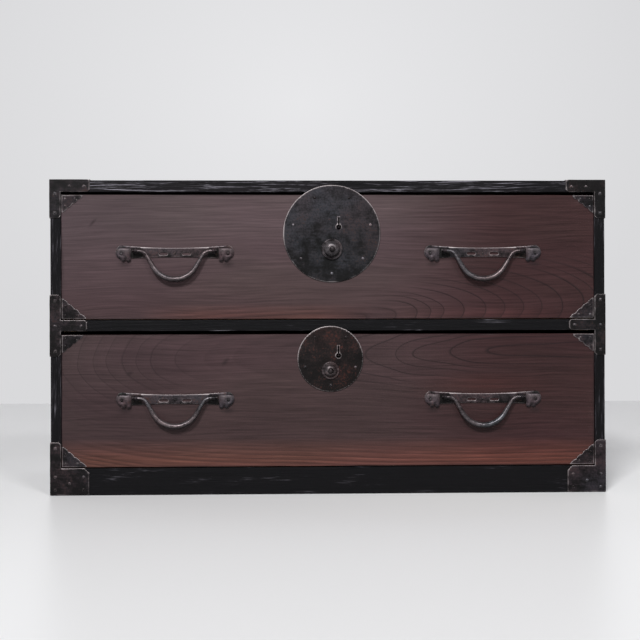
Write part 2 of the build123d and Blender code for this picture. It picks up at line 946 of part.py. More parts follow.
def lock_bolt(drawer):
    x = drawer.lock_x + bolt_x
    pin_z = drawer.knob_z - crank_pin_fall
    foot_z = pin_z - bolt_tail
    slot_height = 2 * (pin_radius + pin_clearance)
    slot_length = slot_height + crank_radius - crank_pin_run
    with BuildPart() as bolt:
        with BuildSketch(facing_front(bolt_y + bolt_thickness)):
            with Locations((x, foot_z)):
                Rectangle(
                    bolt_width,
                    drawer.top_z - bolt_set_back - foot_z,
                    align=(Align.CENTER, Align.MIN),
                )
            with Locations((x, pin_z)):
                SlotOverall(slot_length, slot_height, mode=Mode.SUBTRACT)
        extrude(amount=bolt_thickness)
    return bolt.part


def lock_case(drawer):
    low, high = pocket_corners(drawer)
    x = drawer.lock_x + bolt_x
    half_slot = bolt_width / 2 + bolt_clearance
    with BuildPart() as case:
        block(low, high)
        block(
            (low[0] + case_wall, low[1], low[2] + case_wall),
            (high[0] - case_wall, high[1] - case_cover, high[2] - case_wall),
            mode=Mode.SUBTRACT,
        )
        block(
            (x - half_slot, bolt_y - bolt_clearance, high[2] - case_wall),
            (x + half_slot, bolt_y + bolt_thickness + bolt_clearance, high[2]),
            mode=Mode.SUBTRACT,
        )
        with BuildSketch(facing_front(high[1] - case_cover)):
            with Locations((drawer.key_x, drawer.key_z)):
                Circle(key_post_radius)
        extrude(amount=high[1] - case_cover - face_y + plate_thickness / 2)
    return case.part


def lock_spring(drawer):
    """Leaf spring that stands on the case's floor and leans to the bolt's edge."""
    floor_z = drawer.knob_z - case_foot + case_wall
    foot_x = drawer.lock_x + spring_foot_x
    tip_x = drawer.lock_x + bolt_x + bolt_width / 2 + spring_gap + spring_thickness / 2
    with BuildPart() as spring:
        with BuildSketch(facing_front(bolt_y + bolt_thickness)):
            with BuildLine():
                foot = Line(
                    (foot_x + spring_width, floor_z + spring_thickness / 2),
                    (foot_x, floor_z + spring_thickness / 2),
                )
                bow = TangentArc(foot @ 1, (foot_x - spring_width, floor_z + 2 * spring_width), tangent=foot % 1)
                Line(bow @ 1, (tip_x, floor_z + spring_rise))
            trace(line_width=spring_thickness)
        extrude(amount=spring_width)
    return spring.part


# Handles


def backplate(drawer, centre_x):
    end = backplate_length / 2
    inner = end - backplate_lobe_length
    rise = backplate_end_rise
    fall = backplate_lobe_fall
    band = backplate_band_fall
    middle_z = (rise - fall) / 2
    third = backplate_lobe_length / 3

    def half_lobe(side):
        ThreePointArc(
            (side * (end - third), rise),
            (side * end, middle_z + rise / 2),
            (side * (end - third), middle_z - rise),
        )
        ThreePointArc(
            (side * (end - third), middle_z - rise),
            (side * (end - 1.5 * third), -fall + backplate_scallop_rise),
            (side * (end - 2 * third), middle_z - rise),
        )
        ThreePointArc(
            (side * (end - 2 * third), middle_z - rise),
            (side * (end - 2.5 * third), -fall),
            (side * inner, -band),
        )

    with BuildPart() as plate:
        with BuildSketch(facing_front(face_y)) as outline:
            with Locations((centre_x, drawer.handle_z)):
                with BuildSketch(mode=Mode.PRIVATE) as local:
                    with BuildLine():
                        ThreePointArc(
                            (-(end - third), rise), (0, backplate_middle_rise), (end - third, rise)
                        )
                        half_lobe(1)
                        ThreePointArc((inner, -band), (0, -backplate_middle_fall), (-inner, -band))
                        half_lobe(-1)
                    make_face()
                    with Locations(
                        (-backplate_slot_x, -backplate_slot_fall), (backplate_slot_x, -backplate_slot_fall)
                    ):
                        SlotOverall(backplate_slot_length, backplate_slot_height, mode=Mode.SUBTRACT)
                    with Locations((-post_spacing / 2, 0), (post_spacing / 2, 0)):
                        Circle(post_radius, mode=Mode.SUBTRACT)
                add(local.sketch)
        extrude(amount=backplate_thickness)
        with BuildSketch(facing_front(face_y - backplate_thickness)):
            add(outline.sketch.moved(Location((0, -backplate_thickness, 0))))
            with Locations((centre_x, drawer.handle_z)):
                Rectangle(2 * inner, 4 * fall, mode=Mode.SUBTRACT)
        extrude(amount=backplate_lobe_thickness - backplate_thickness)
        drill(drawer_nail_seats(drawer), nail_shank_radius, nail_length)
    return plate.part


def handle_posts(drawer):
    """Eyed posts: an eye for the bail, a collar on the backplate, and a clinch behind the front."""
    eye_y = face_y - eye_standoff
    clinch_y = front_back_y + clinch_height
    plate_front_y = face_y - backplate_thickness
    with BuildPart() as posts:
        for x, z in post_places(drawer):
            with BuildSketch(facing_front(clinch_y)):
                with Locations((x, z)):
                    Circle(post_radius)
            extrude(amount=clinch_y - eye_y)
            with BuildSketch(facing_front(plate_front_y)):
                with Locations((x, z)):
                    Circle(post_collar_radius)
            extrude(amount=post_collar_height)
            with BuildSketch(facing_front(clinch_y)):
                with Locations((x, z)):
                    Circle(post_collar_radius)
            extrude(amount=clinch_height)
            with BuildSketch(Plane.YZ.offset(x - eye_width / 2)):
                with Locations((eye_y, z)):
                    Circle(eye_radius)
            extrude(amount=eye_width)
        for x, z in post_places(drawer):
            with BuildSketch(Plane.YZ.offset(x - eye_width / 2)):
                with Locations((eye_y, z)):
                    Circle(bail_end_radius + eye_clearance)
            extrude(amount=eye_width, mode=Mode.SUBTRACT)
    return posts.part


def bail(drawer, centre_x):
    """Bail whose ends run through the eyes, then bend down into a round bow, thickest below."""
    eye_y = face_y - eye_standoff
    half_eye = eye_width / 2
    lead_x = post_spacing / 2 - half_eye - bail_lead
    tip_x = post_spacing / 2 + half_eye + eye_play
    turn = radians(bail_bend_angle)
    fall_share = 1 - cos(turn)
    radius_sum = (lead_x * sin(turn) - bail_drop * cos(turn)) / fall_share
    straight = (bail_drop * sin(turn) - lead_x * fall_share) / fall_share
    bow_radius = radius_sum - bail_bend_radius
    centre = Plane(origin=(centre_x, eye_y, drawer.handle_z), x_dir=(1, 0, 0), z_dir=(0, -1, 0))
    with BuildPart() as handle:
        with BuildLine(centre) as route:
            lead = Line((-tip_x, 0), (-lead_x, 0))
            down = JernArc(lead @ 1, lead % 1, bail_bend_radius, -bail_bend_angle)
            fall = Line(down @ 1, down @ 1 + (down % 1) * straight)
            bow = JernArc(fall @ 1, fall % 1, bow_radius, 2 * bail_bend_angle)
            rise = Line(bow @ 1, bow @ 1 + (bow % 1) * straight)
            up = JernArc(rise @ 1, rise % 1, bail_bend_radius, -bail_bend_angle)
            Line(up @ 1, up @ 1 + (up % 1) * (tip_x - lead_x))
        path = route.wires()[0]
        eye_share = (tip_x - lead_x) / path.length
        stations = (
            (0, bail_end_radius),
            (eye_share, bail_end_radius),
            (0.5, bail_middle_radius),
            (1 - eye_share, bail_end_radius),
            (1, bail_end_radius),
        )
        for share, radius in stations:
            with BuildSketch(Plane(origin=path @ share, x_dir=(0, 1, 0), z_dir=path % share)):
                Circle(radius)
        sweep(path=path, multisection=True)
        for side in (-1, 1):
            with BuildSketch(Plane.YZ.offset(centre_x + side * tip_x)):
                with Locations((eye_y, drawer.handle_z)):
                    Circle(bail_tip_radius)
            extrude(amount=side * bail_tip_length)
    return handle.part


# Drawer corner irons


def corner_iron(drawer, side, top):
    """Right-angled iron whose sloping edge is a row of scallops."""
    x, z, width, height = corner_reach(drawer, side, top)
    start = Vector(x + width, z)
    end = Vector(x, z + height)
    along = (end - start) / corner_scallops
    out = Vector(width, height).normalized()
    with BuildSketch(facing_front(face_y)) as outline:
        with BuildLine():
            Polyline(end, (x, z), start)
            for number in range(corner_scallops):
                low = start + along * number
                high = low + along
                crest = (low + high) / 2 + out * corner_scallop_depth
                ThreePointArc(low, crest, high)
        make_face()
    extrude(outline.sketch, amount=corner_thickness)


def corner_irons(drawer):
    with BuildPart() as irons:
        for side, top in corners:
            corner_iron(drawer, side, top)
        drill(drawer_nail_seats(drawer), nail_shank_radius, nail_length)
    return irons.part


for drawer in (upper, lower):
    name = drawer.name
    left = drawer_side(drawer)
    save(drawer_front(drawer), f"{name}_drawer_front")
    save(left, f"{name}_drawer_left_side")
    save(mirror(left, about=Plane.YZ), f"{name}_drawer_right_side")
    save(drawer_back(drawer), f"{name}_drawer_back")
    save(drawer_bottom(drawer), f"{name}_drawer_bottom")
    save(drawer_pegs(drawer), f"{name}_drawer_pegs")
    save(lock_plate(drawer), f"{name}_lock_plate")
    save(knob_collar(drawer), f"{name}_knob_collar")
    save(lock_knob(drawer), f"{name}_lock_knob")
    save(lock_crank(drawer), f"{name}_lock_crank")
    save(lock_bolt(drawer), f"{name}_lock_bolt")
    save(lock_case(drawer), f"{name}_lock_case")
    save(lock_spring(drawer), f"{name}_lock_spring")
    save(backplate(drawer, -handle_x), f"{name}_left_backplate")
    save(backplate(drawer, handle_x), f"{name}_right_backplate")
    save(handle_posts(drawer), f"{name}_handle_posts")
    save(bail(drawer, -handle_x), f"{name}_left_bail")
    save(bail(drawer, handle_x), f"{name}_right_bail")
    save(corner_irons(drawer), f"{name}_corner_irons")
    save(nails(drawer_nail_seats(drawer)), f"{name}_drawer_nails")
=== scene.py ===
import json
from functools import partial
from math import cos, exp, hypot, pi, radians, sin

import bmesh
import bpy
from bpy.props import FloatProperty, FloatVectorProperty, IntProperty, PointerProperty
from mathutils import Euler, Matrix, Vector, kdtree, noise

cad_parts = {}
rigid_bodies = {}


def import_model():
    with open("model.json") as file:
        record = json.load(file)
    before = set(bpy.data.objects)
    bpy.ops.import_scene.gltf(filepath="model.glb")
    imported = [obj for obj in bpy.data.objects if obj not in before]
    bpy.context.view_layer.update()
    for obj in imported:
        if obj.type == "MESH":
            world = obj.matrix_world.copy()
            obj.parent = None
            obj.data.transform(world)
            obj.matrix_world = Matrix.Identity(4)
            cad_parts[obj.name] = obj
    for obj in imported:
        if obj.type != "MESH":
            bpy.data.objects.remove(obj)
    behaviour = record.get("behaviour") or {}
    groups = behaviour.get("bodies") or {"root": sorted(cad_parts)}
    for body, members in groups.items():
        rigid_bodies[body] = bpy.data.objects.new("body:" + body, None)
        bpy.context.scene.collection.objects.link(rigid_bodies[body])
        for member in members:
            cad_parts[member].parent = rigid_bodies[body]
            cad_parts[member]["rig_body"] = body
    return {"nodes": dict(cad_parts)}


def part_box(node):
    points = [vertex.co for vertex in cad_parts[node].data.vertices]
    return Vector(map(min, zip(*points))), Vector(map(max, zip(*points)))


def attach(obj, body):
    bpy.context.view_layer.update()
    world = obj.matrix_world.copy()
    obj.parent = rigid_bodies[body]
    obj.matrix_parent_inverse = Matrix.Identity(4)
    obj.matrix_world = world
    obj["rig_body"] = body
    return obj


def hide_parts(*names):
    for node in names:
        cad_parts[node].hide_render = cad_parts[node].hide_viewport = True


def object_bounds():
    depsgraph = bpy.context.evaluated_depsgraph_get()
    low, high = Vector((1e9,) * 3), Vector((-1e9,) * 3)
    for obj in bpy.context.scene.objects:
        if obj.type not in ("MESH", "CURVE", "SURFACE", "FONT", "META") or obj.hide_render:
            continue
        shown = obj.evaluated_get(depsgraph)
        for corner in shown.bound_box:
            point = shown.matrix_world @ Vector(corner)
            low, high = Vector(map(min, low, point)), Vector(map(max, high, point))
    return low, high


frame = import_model()
CAD_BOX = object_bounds()
NODES = frame["nodes"]

bl_info = {
    "name": "Isho clothing chest",
    "version": (1, 0, 0),
    "blender": (4, 5, 0),
    "location": "3D View > Sidebar > Chest",
    "description": "Dresses the two-drawer clothing chest: lacquered frame, figured drawer fronts and forged iron",
    "category": "Object",
}

DRAWERS = ("upper", "lower")
SIDES = ("left", "right")


def colour(code):
    """Linear colour of an sRGB hex value, or of a property, which is linear already."""
    if not isinstance(code, str):
        return tuple(code)
    parts = [int(code[start:start + 2], 16) / 255 for start in (1, 3, 5)]
    return tuple(c / 12.92 if c <= 0.04045 else ((c + 0.055) / 1.055) ** 2.4 for c in parts) + (1.0,)


# Sizes and colours


class ChestSizes(bpy.types.PropertyGroup):
    """Sizes of the finish: broken edges, dents and nail heads."""

    wood_edge: FloatProperty(
        name="Wood edge", description="Width of the broken edges of the boards",
        default=0.0007, min=0.0, unit="LENGTH")
    wood_wear: FloatProperty(
        name="Wood wear", description="Deepest rubbing of a board's edge",
        default=0.0008, min=0.0, unit="LENGTH")
    iron_edge: FloatProperty(
        name="Iron edge", description="Width of the filed edges of the plates",
        default=0.0006, min=0.0, unit="LENGTH")
    iron_dent: FloatProperty(
        name="Hammer dents", description="Depth of the hammer dents in the plates",
        default=0.0004, min=0.0, unit="LENGTH")
    nail_radius: FloatProperty(
        name="Nail head radius", description="Radius of a domed nail head",
        default=0.0024, min=0.0, unit="LENGTH")
    nail_height: FloatProperty(
        name="Nail head height", description="How far a domed nail head stands up",
        default=0.0013, min=0.0, unit="LENGTH")
    bail_swell: FloatProperty(
        name="Bail swell", description="How much thicker a bail is forged outside its eyes, at each side",
        default=0.0014, min=0.0, unit="LENGTH")
    plate_dish: FloatProperty(
        name="Lock plate crown", description="How far the rim of a lock plate lies behind its middle",
        default=0.0007, min=0.0, unit="LENGTH")
    nail_seed: IntProperty(
        name="Nail seed", description="Choice of the small differences between nail heads", default=7)


class ChestColours(bpy.types.PropertyGroup):
    """Main colours of the finish."""

    lacquer: FloatVectorProperty(
        name="Black lacquer", description="Lacquer of the frame", subtype="COLOR", size=4,
        default=colour("#070708"), min=0.0, max=1.0)
    upper_front: FloatVectorProperty(
        name="Upper front", description="Middle tone of the upper drawer front under its lacquer", subtype="COLOR",
        size=4, default=colour("#472a29"), min=0.0, max=1.0)
    lower_front: FloatVectorProperty(
        name="Lower front", description="Middle tone of the lower drawer front under its lacquer", subtype="COLOR",
        size=4, default=colour("#512f2f"), min=0.0, max=1.0)
    iron: FloatVectorProperty(
        name="Iron", description="Palest tone of the blackened plates", subtype="COLOR", size=4,
        default=colour("#322b30"), min=0.0, max=1.0)


# Building blocks


# What the word after a node's kind sets, where it isn't the operation.
MODES = {"MapRange": "interpolation_type", "TexNoise": "noise_dimensions", "TexWhiteNoise": "noise_dimensions"}


def add_node(tree, kind, *inputs, named=None, out=0, stretch=None, ramp=None, curve=None, **settings):
    """Adds a node: its settings, its inputs in order or by name, and returns one of its outputs, or all of them.

    A shader node's kind is given without its prefix, with its operation or mode after a space. Blend mixes two
    colours, and stretch multiplies the first input along each axis.
    """
    kind, _, mode = kind.partition(" ")
    if mode:
        settings[MODES.get(kind, "operation")] = mode
    if kind == "Blend":
        kind, out, settings["data_type"] = "Mix", 2, "RGBA"
        inputs, named = inputs[:1], {6: inputs[1], 7: inputs[2]}
    if stretch:
        inputs = (add_node(tree, "VectorMath MULTIPLY", inputs[0], stretch), *inputs[1:])
    made = tree.nodes.new(kind if kind.startswith(("Geometry", "Function")) else f"ShaderNode{kind}")
    for setting, value in settings.items():
        setattr(made, setting, value)
    for socket, value in list(enumerate(inputs)) + list((named or {}).items()):
        if isinstance(value, bpy.types.NodeSocket):
            tree.links.new(value, made.inputs[socket])
        elif value is not None:
            made.inputs[socket].default_value = value
    if ramp:
        stops = made.color_ramp.elements
        while len(stops) < len(ramp):
            stops.new(0.5)
        for stop, (place, code) in zip(stops, ramp):
            stop.position = place
            stop.color = (code, code, code, 1.0) if isinstance(code, float) else colour(code)
    if curve:
        points = made.mapping.curves[0].points
        while len(points) < len(curve):
            points.new(0.5, 0.5)
        for point, place in zip(points, curve):
            point.location = place
        made.mapping.update()
    return made.outputs if out is None else made.outputs[out]


def new_material(name):
    """An empty material, the function that adds a node to it, and a principled shader on its output."""
    material = bpy.data.materials.new(name)
    material.use_nodes = True
    tree = material.node_tree
    tree.nodes.clear()
    shader = tree.nodes.new("ShaderNodeBsdfPrincipled")
    output = tree.nodes.new("ShaderNodeOutputMaterial")
    tree.links.new(shader.outputs[0], output.inputs["Surface"])
    return material, partial(add_node, tree), shader


def set_shader(shader, **values):
    """Sets or links sockets of a shader; underscores in a name stand for spaces."""
    for name, value in values.items():
        socket = shader.inputs[name.replace("_", " ")]
        if isinstance(value, bpy.types.NodeSocket):
            shader.id_data.links.new(value, socket)
        else:
            socket.default_value = value


def clean_copy(node):
    """A copy of a node's mesh as joined faces, with the seams of its triangles removed."""
    solid = bmesh.new()
    solid.from_mesh(NODES[node].data)
    bmesh.ops.remove_doubles(solid, verts=solid.verts, dist=2e-6)
    bmesh.ops.dissolve_limit(
        solid, angle_limit=radians(0.4), use_dissolve_boundaries=False,
        verts=solid.verts, edges=solid.edges, delimit={"NORMAL"})
    return solid


def sharp_edges(solid, angle=35):
    limit = radians(angle)
    return [e for e in solid.edges if len(e.link_faces) == 2 and e.calc_face_angle(0) > limit]


def edge_tree(edges, step=0.0015):
    """Points along the given edges, to measure how near a place is to the nearest one."""
    points = []
    for edge in edges:
        start, end = edge.verts[0].co.copy(), edge.verts[1].co.copy()
        count = max(1, int((end - start).length / step))
        points += [start.lerp(end, number / count) for number in range(count + 1)]
    tree = kdtree.KDTree(len(points))
    for number, point in enumerate(points):
        tree.insert(point, number)
    tree.balance()
    return tree


def cut(solid, axis, places):
    """Cuts the mesh by planes across one axis."""
    normal = Vector((axis == 0, axis == 1, axis == 2))
    for place in places:
        everything = solid.verts[:] + solid.edges[:] + solid.faces[:]
        bmesh.ops.bisect_plane(solid, geom=everything, dist=1e-6, plane_co=normal * place, plane_no=normal)


def spread(low, high, step):
    """Places between two ends, about one step apart, without the ends."""
    count = max(1, round((high - low) / step))
    return [low + (high - low) * number / count for number in range(1, count)]


def grid(node, steps):
    """Cutting places for a node, from one step for each axis, or none."""
    low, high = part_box(node)
    return {axis: spread(low[axis], high[axis], step) for axis, step in enumerate(steps) if step}


def new_object(name, data):
    """A new object in the scene."""
    made = bpy.data.objects.new(name, data)
    bpy.context.scene.collection.objects.link(made)
    return made


def finish_piece(name, solid, body, materials, slot, *nodes, smooth=30):
    """Makes an object of the mesh, shades it, puts it on its body and lets it stand for its nodes."""
    mesh = bpy.data.meshes.new(name)
    solid.normal_update()
    solid.to_mesh(mesh)
    solid.free()
    for polygon in mesh.polygons:
        polygon.use_smooth = True
    mesh.set_sharp_from_angle(angle=radians(smooth))
    piece = new_object(name, mesh)
    for material in materials:
        mesh.materials.append(material)
    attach(piece, body)
    if nodes:
        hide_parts(*nodes)
    return piece


# The lobes of a backplate begin this far from its middle, and the posts of its bail stand this far out.
LOBE_START, POST_SPAN = 0.0755, 0.067
# The ends of a bail, which no hand rubs, are this long.
BAIL_END = 0.009
# Half the thickness of a bail's rod between its eyes, from front to back and in height.
ROD_DEPTH, ROD_HEIGHT = 0.0036, 0.0033
# The strap of a split post, its eye round the bail and the leaves that are turned over behind the front.
STRAP_WIDTH, STRAP_BACK, EYE_HOLE, EYE_RIM, LEAF_REACH = 0.0054, 0.0026, 0.0024, 0.0039, 0.0065
# The round seat under a post, on the backplate.
SEAT_DEPTH, SEAT_RADIUS = 0.0031, 0.0048
LOCK_PLATES = {drawer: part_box(f"{drawer}_lock_plate") for drawer in DRAWERS}


def dish(place, drawer, crown):
    """How far a lock plate curves back from its middle at a place on it."""
    low, high = LOCK_PLATES[drawer]
    radius = (high.x - low.x) / 2
    away = hypot(place.x - (low.x + high.x) / 2, place.z - (low.z + high.z) / 2) / radius
    return crown * min(1.0, away) ** 2 * radius / 0.085


def body_of(node):
    return NODES[node]["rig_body"]


def worked(node, material, slot, edge, cuts, shape, tone=None, smooth=30, segments=2):
    """A node's own shape with broken edges, cut into cells and shaped by hand.

    shape(place, normal, nearness) gives how far a place is pressed in, and nearness is 1 on an edge.
    """
    solid = clean_copy(node)
    edges = sharp_edges(solid)
    near = edge_tree(edges)
    if edge:
        bmesh.ops.bevel(
            solid, geom=edges, offset=edge, offset_type="OFFSET", segments=segments, profile=0.6,
            affect="EDGES", clamp_overlap=True)
    for axis, places in cuts.items():
        cut(solid, axis, places)
    solid.normal_update()
    nearness = solid.verts.layers.float.new("edge")
    tones = solid.verts.layers.float.new("tone")
    for vertex in solid.verts:
        distance = near.find(vertex.co)[2]
        vertex[nearness] = exp(-distance / 0.002)
        vertex[tones] = tone(vertex.co) if tone else 0.5
    moves = [-v.normal * shape(v.co, v.normal, v[nearness]) for v in solid.verts]
    for vertex, move in zip(solid.verts, moves):
        vertex.co += move
    bmesh.ops.triangulate(solid, faces=[f for f in solid.faces if len(f.verts) > 4])
    return finish_piece(f"{node}_finish", solid, body_of(node), [material], slot, node, smooth=smooth)


def dress(node, material):
    """Gives a node that is kept as it is its material."""
    mesh = NODES[node].data
    mesh.materials.clear()
    mesh.materials.append(material)


def sizes():
    return bpy.context.scene.chest_sizes


def tints():
    return bpy.context.scene.chest_colours


# Materials


def to_and_fro(add, place, size, detail, amount):
    """Noise in three directions about nothing, up to half of amount each way: it bends what is drawn on places."""
    bend = add("TexNoise", place, None, 1.0, detail, out=1, stretch=size)
    bend = add("VectorMath SUBTRACT", bend, (0.5, 0.5, 0.5))
    return add("VectorMath MULTIPLY", bend, amount)


def tinted(add, paint, place, size, cool, warm):
    """A paint that drifts between a cool and a warm cast in soft clouds."""
    drift = add("TexNoise", place, None, 1.0, 2.0, stretch=size)
    drift = add("MapRange", drift, 0.4, 0.6, 0.0, 1.0)
    drift = add("Blend", drift, colour(cool), colour(warm))
    return add("VectorMath MULTIPLY", paint, drift)


def lacquered_frame(name, upright):
    """Black lacquer wiped on open-grained wood: nearly black, dull, ridged by the grain, rubbed grey on the crests,
    where the grey streaks are also a painted highlight on the ridges.
    """
    material, add, shader = new_material(name)
    place = add("TexCoord", out=3)
    along = radians(90) if upright else 0
    turned = add("Mapping", place, (0, 0, 0), (0, along, 0), (1, 1, 1))
    flow = add("VectorMath ADD", turned, to_and_fro(add, turned, (5.0, 5.0, 5.0), 2.0, (0.0, 0.012, 0.012)))
    # The crests between open pores run along the board, about 2 mm apart and 30 to 60 mm long.
    crests = add("TexNoise", flow, None, 1.0, 4.0, 0.6, stretch=(9.0, 520.0, 520.0))
    flecks = add("TexNoise", flow, None, 1.0, 3.0, 0.6, stretch=(45.0, 900.0, 900.0))
    rubbed = add("TexNoise", flow, None, 1.0, 4.0, 0.65, stretch=(9.0, 60.0, 60.0))
    edge = add("Attribute", attribute_name="edge", out=2)
    tone = add("Attribute", attribute_name="tone", out=2)
    reach = add("Math MULTIPLY_ADD", edge, 0.12, rubbed)
    reach = add("Math MULTIPLY_ADD", tone, 0.22, reach)
    bare = add("MapRange SMOOTHSTEP", reach, 0.5, 0.78, 0.0, 1.0)
    # Pale streaks on the crests: worn lacquer, and partly a painted highlight.
    crest_wear_and_highlight = add("Math MULTIPLY_ADD", flecks, 0.5, crests)
    crest_wear_and_highlight = add("MapRange", crest_wear_and_highlight, 0.8, 0.93, 0.0, 1.0)
    crest_wear_and_highlight = add("Math MULTIPLY", crest_wear_and_highlight, bare)
    black = add("Blend", crests, colour(tints().lacquer), colour("#100f12"))
    brown = add("Blend", bare, black, colour("#151316"))
    final = add("Blend", crest_wear_and_highlight, brown, colour("#737078"))
    gloss = add("MapRange", crests, 0.3, 0.7, 0.62, 0.42)
    height = add("Math MULTIPLY_ADD", flecks, 0.4, crests)
    bump = add("Bump", 0.6, 0.0008, named={"Height": height})
    set_shader(shader, Base_Color=final, Roughness=gloss, Normal=bump, IOR=1.5, Specular_IOR_Level=0.08)
    return material


def ring_field(add, place, heart, heart_depth, warp, fine):
    """Distance from the tree's heart, which runs along the board: the growth rings are where it is constant.

    heart is its height at the middle of the board and its slope, and heart_depth lists how deep it lies behind
    the face from the board's left end to its right. Also gives how steeply the rings cut the face, 1 at a tip,
    and the height above or below the heart.
    """
    wide = to_and_fro(add, place, (2.6, 2.6, 9.0), 2.0, warp)
    narrow = to_and_fro(add, place, (11.0, 11.0, 30.0), 3.0, fine)
    moved = add("VectorMath ADD", place, wide)
    moved = add("VectorMath ADD", moved, narrow)
    x, _, z = add("SeparateXYZ", moved, out=None)
    share = add("MapRange", x, -0.49, 0.49, 0.0, 1.0)
    depth = add("FloatCurve", 1.0, share, curve=heart_depth)
    depth = add("Math MULTIPLY", depth, 0.25)
    level = add("Math MULTIPLY_ADD", x, heart[1], heart[0])
    rise = add("Math SUBTRACT", z, level)
    both = add("CombineXYZ", rise, depth, 0.0)
    radius = add("VectorMath LENGTH", both, out=1)
    steep = add("Math DIVIDE", depth, radius, use_clamp=True)
    return radius, steep, add("Math ABSOLUTE", rise)


def figured_front(name, heart, heart_depth, spacing, base, zones, warp, fine, sheen_span, marks=()):
    """Wiped-lacquer zelkova: red-brown film over fine straight streaks, thin dark rings and cathedral tips."""
    material, add, shader = new_material(name)
    place = add("TexCoord", out=3)
    x, _, z = add("SeparateXYZ", place, out=None)
    radius, steep, off_heart = ring_field(add, place, heart, heart_depth, warp, fine)
    uneven = add("Math MULTIPLY", radius, 34.0)
    uneven = add("TexNoise 1D", None, uneven, 1.0, 2.0)
    phase = add("Math MULTIPLY", radius, 1 / spacing)
    phase = add("Math MULTIPLY_ADD", uneven, 2.2, phase)
    ring = add("Math FRACT", phase)
    number = add("Math FLOOR", phase)
    strength = add("TexWhiteNoise 1D", None, number)
    # Streaks 4 to 6 mm wide run along the board, and partly round the heart. Pores are finer than can show, so they
    # are drawn as dashes 2.6 mm wide between them.
    follow = add("CombineXYZ", x, 0.0, radius)
    curved = add("TexNoise", follow, None, 1.0, 5.0, 0.68, stretch=(3.2, 1.0, 170.0))
    wave = add("TexNoise", place, None, 1.0, 2.0, stretch=(3.0, 3.0, 7.0))
    wave = add("Math SUBTRACT", wave, 0.5)
    wave = add("Math MULTIPLY", wave, 0.03)
    wave = add("CombineXYZ", 0.0, 0.0, wave)
    wavy = add("VectorMath ADD", place, wave)
    straight = add("TexNoise", wavy, None, 1.0, 5.0, 0.75, stretch=(2.8, 2.8, 230.0))
    bands = add("Mix", 0.6, curved, straight)
    fibres = add("TexNoise", wavy, None, 1.0, 4.0, 0.65, stretch=(9.0, 9.0, 380.0))
    cloud = add("TexNoise", place, None, 1.0, 4.0, 0.6, stretch=(3.5, 3.5, 10.0))
    dark, middle, light = base
    wood = add("ValToRGB", bands, ramp=[(0.36, dark), (0.5, middle), (0.64, light)])
    # Painted sheen: the left and upper part of the front is mixed towards grey.
    least, most, foot, top = sheen_span
    painted_sheen = add("MapRange SMOOTHSTEP", x, 0.06, 0.32, 1.0, 0.0)
    upper = add("MapRange", z, foot, top, least, most)
    painted_sheen = add("Math MULTIPLY", painted_sheen, upper)
    shaded = add("MapRange", x, -0.47, -0.2, 0.78, 1.0)
    wood = add("VectorMath MULTIPLY", wood, shaded)
    wood = add("Blend", painted_sheen, wood, colour("#6f676b"))
    clear = 0.0
    for low_x, high_x, low_z, high_z, soft, code, share in zones:
        left = add("MapRange", x, low_x - soft, low_x + soft, 0.0, share)
        right = add("MapRange", x, high_x - soft, high_x + soft, 1.0, 0.0)
        under = add("MapRange", z, low_z - soft / 4, low_z + soft / 4, 0.0, 1.0)
        over = add("MapRange", z, high_z - soft / 4, high_z + soft / 4, 1.0, 0.0)
        across = add("Math MULTIPLY", left, right)
        upward = add("Math MULTIPLY", under, over)
        inside = add("Math MULTIPLY", across, upward)
        clear = add("Math MAXIMUM", inside, clear)
        streaked = add("MapRange", bands, 0.39, 0.56, 0.15, 1.1)
        inside = add("Math MULTIPLY", inside, streaked)
        wood = add("Blend", inside, wood, colour(code))
    # A ring ends in a dark line 3.5 mm wide that fades outwards, however slantwise the face cuts it.
    flatness = add("Math MULTIPLY", steep, steep)
    flatness = add("Math MULTIPLY_ADD", flatness, -0.94, 1.0)
    width = add("Math SQRT", flatness)
    width = add("Math MULTIPLY", width, 0.0035 / spacing)
    line = add("MapRange SMOOTHSTEP", ring, 0.0, width, 1.0, 0.0)
    kept = add("MapRange", steep, 0.3, 0.8, 0.08, 1.0)
    close = add("MapRange", off_heart, 0.04, 0.1, 1.0, 0.22)
    kept = add("Math MULTIPLY", kept, close)
    veil = add("TexNoise", place, None, 7.0, 2.0)
    veil = add("MapRange", veil, 0.4, 0.58, 0.8, 1.0)
    kept = add("Math MULTIPLY", kept, veil)
    # Left of the lock plate the lacquer lies thicker, and the rings hardly show.
    inward = add("Math ADD", x, 0.11)
    inward = add("Math ABSOLUTE", inward)
    inward = add("MapRange", inward, 0.1, 0.21, 0.12, 1.0)
    veiled = add("MapRange", x, -0.35, 0.0, 0.55, 1.0)
    inward = add("Math MULTIPLY", inward, veiled)
    kept = add("Math MULTIPLY", kept, inward)
    kept = add("Math MAXIMUM", kept, clear)
    strength = add("MapRange", strength, 0.0, 1.0, 0.8, 1.0)
    broken = add("MapRange", fibres, 0.38, 0.56, 0.7, 1.0)
    for share in (kept, strength, broken):
        line = add("Math MULTIPLY", line, share)
    wood = add("Blend", line, wood, colour("#0d0709"))
    # Dark marks on the wood: a few are stains, and the ones below the backplates' lobes are painted shadows.
    for mark_x, mark_z, lean, length, breadth in marks:
        away = add("VectorMath SUBTRACT", place, (mark_x, 0.0, mark_z))
        turn = radians(lean)
        along = add("VectorMath DOT_PRODUCT", away, (cos(turn) / length, 0.0, sin(turn) / length), out=1)
        beside = add("VectorMath DOT_PRODUCT", away, (-sin(turn) / breadth, 0.0, cos(turn) / breadth), out=1)
        both = add("CombineXYZ", along, beside, 0.0)
        gap = add("VectorMath LENGTH", both, out=1)
        stain_and_shadow = add("MapRange SMOOTHSTEP", gap, 0.0, 1.0, 0.6, 0.0)
        wood = add("Blend", stain_and_shadow, wood, colour("#1d1315"))
    # The fibres stand out more where less sheen is painted.
    deepest = add("Math MULTIPLY_ADD", painted_sheen, 0.6, 0.62)
    palest = add("Math MULTIPLY_ADD", painted_sheen, -0.6, 1.38)
    shade = add("MapRange", fibres, 0.3, 0.7, deepest, palest)
    patch = add("MapRange", cloud, 0.3, 0.7, 0.84, 1.16)
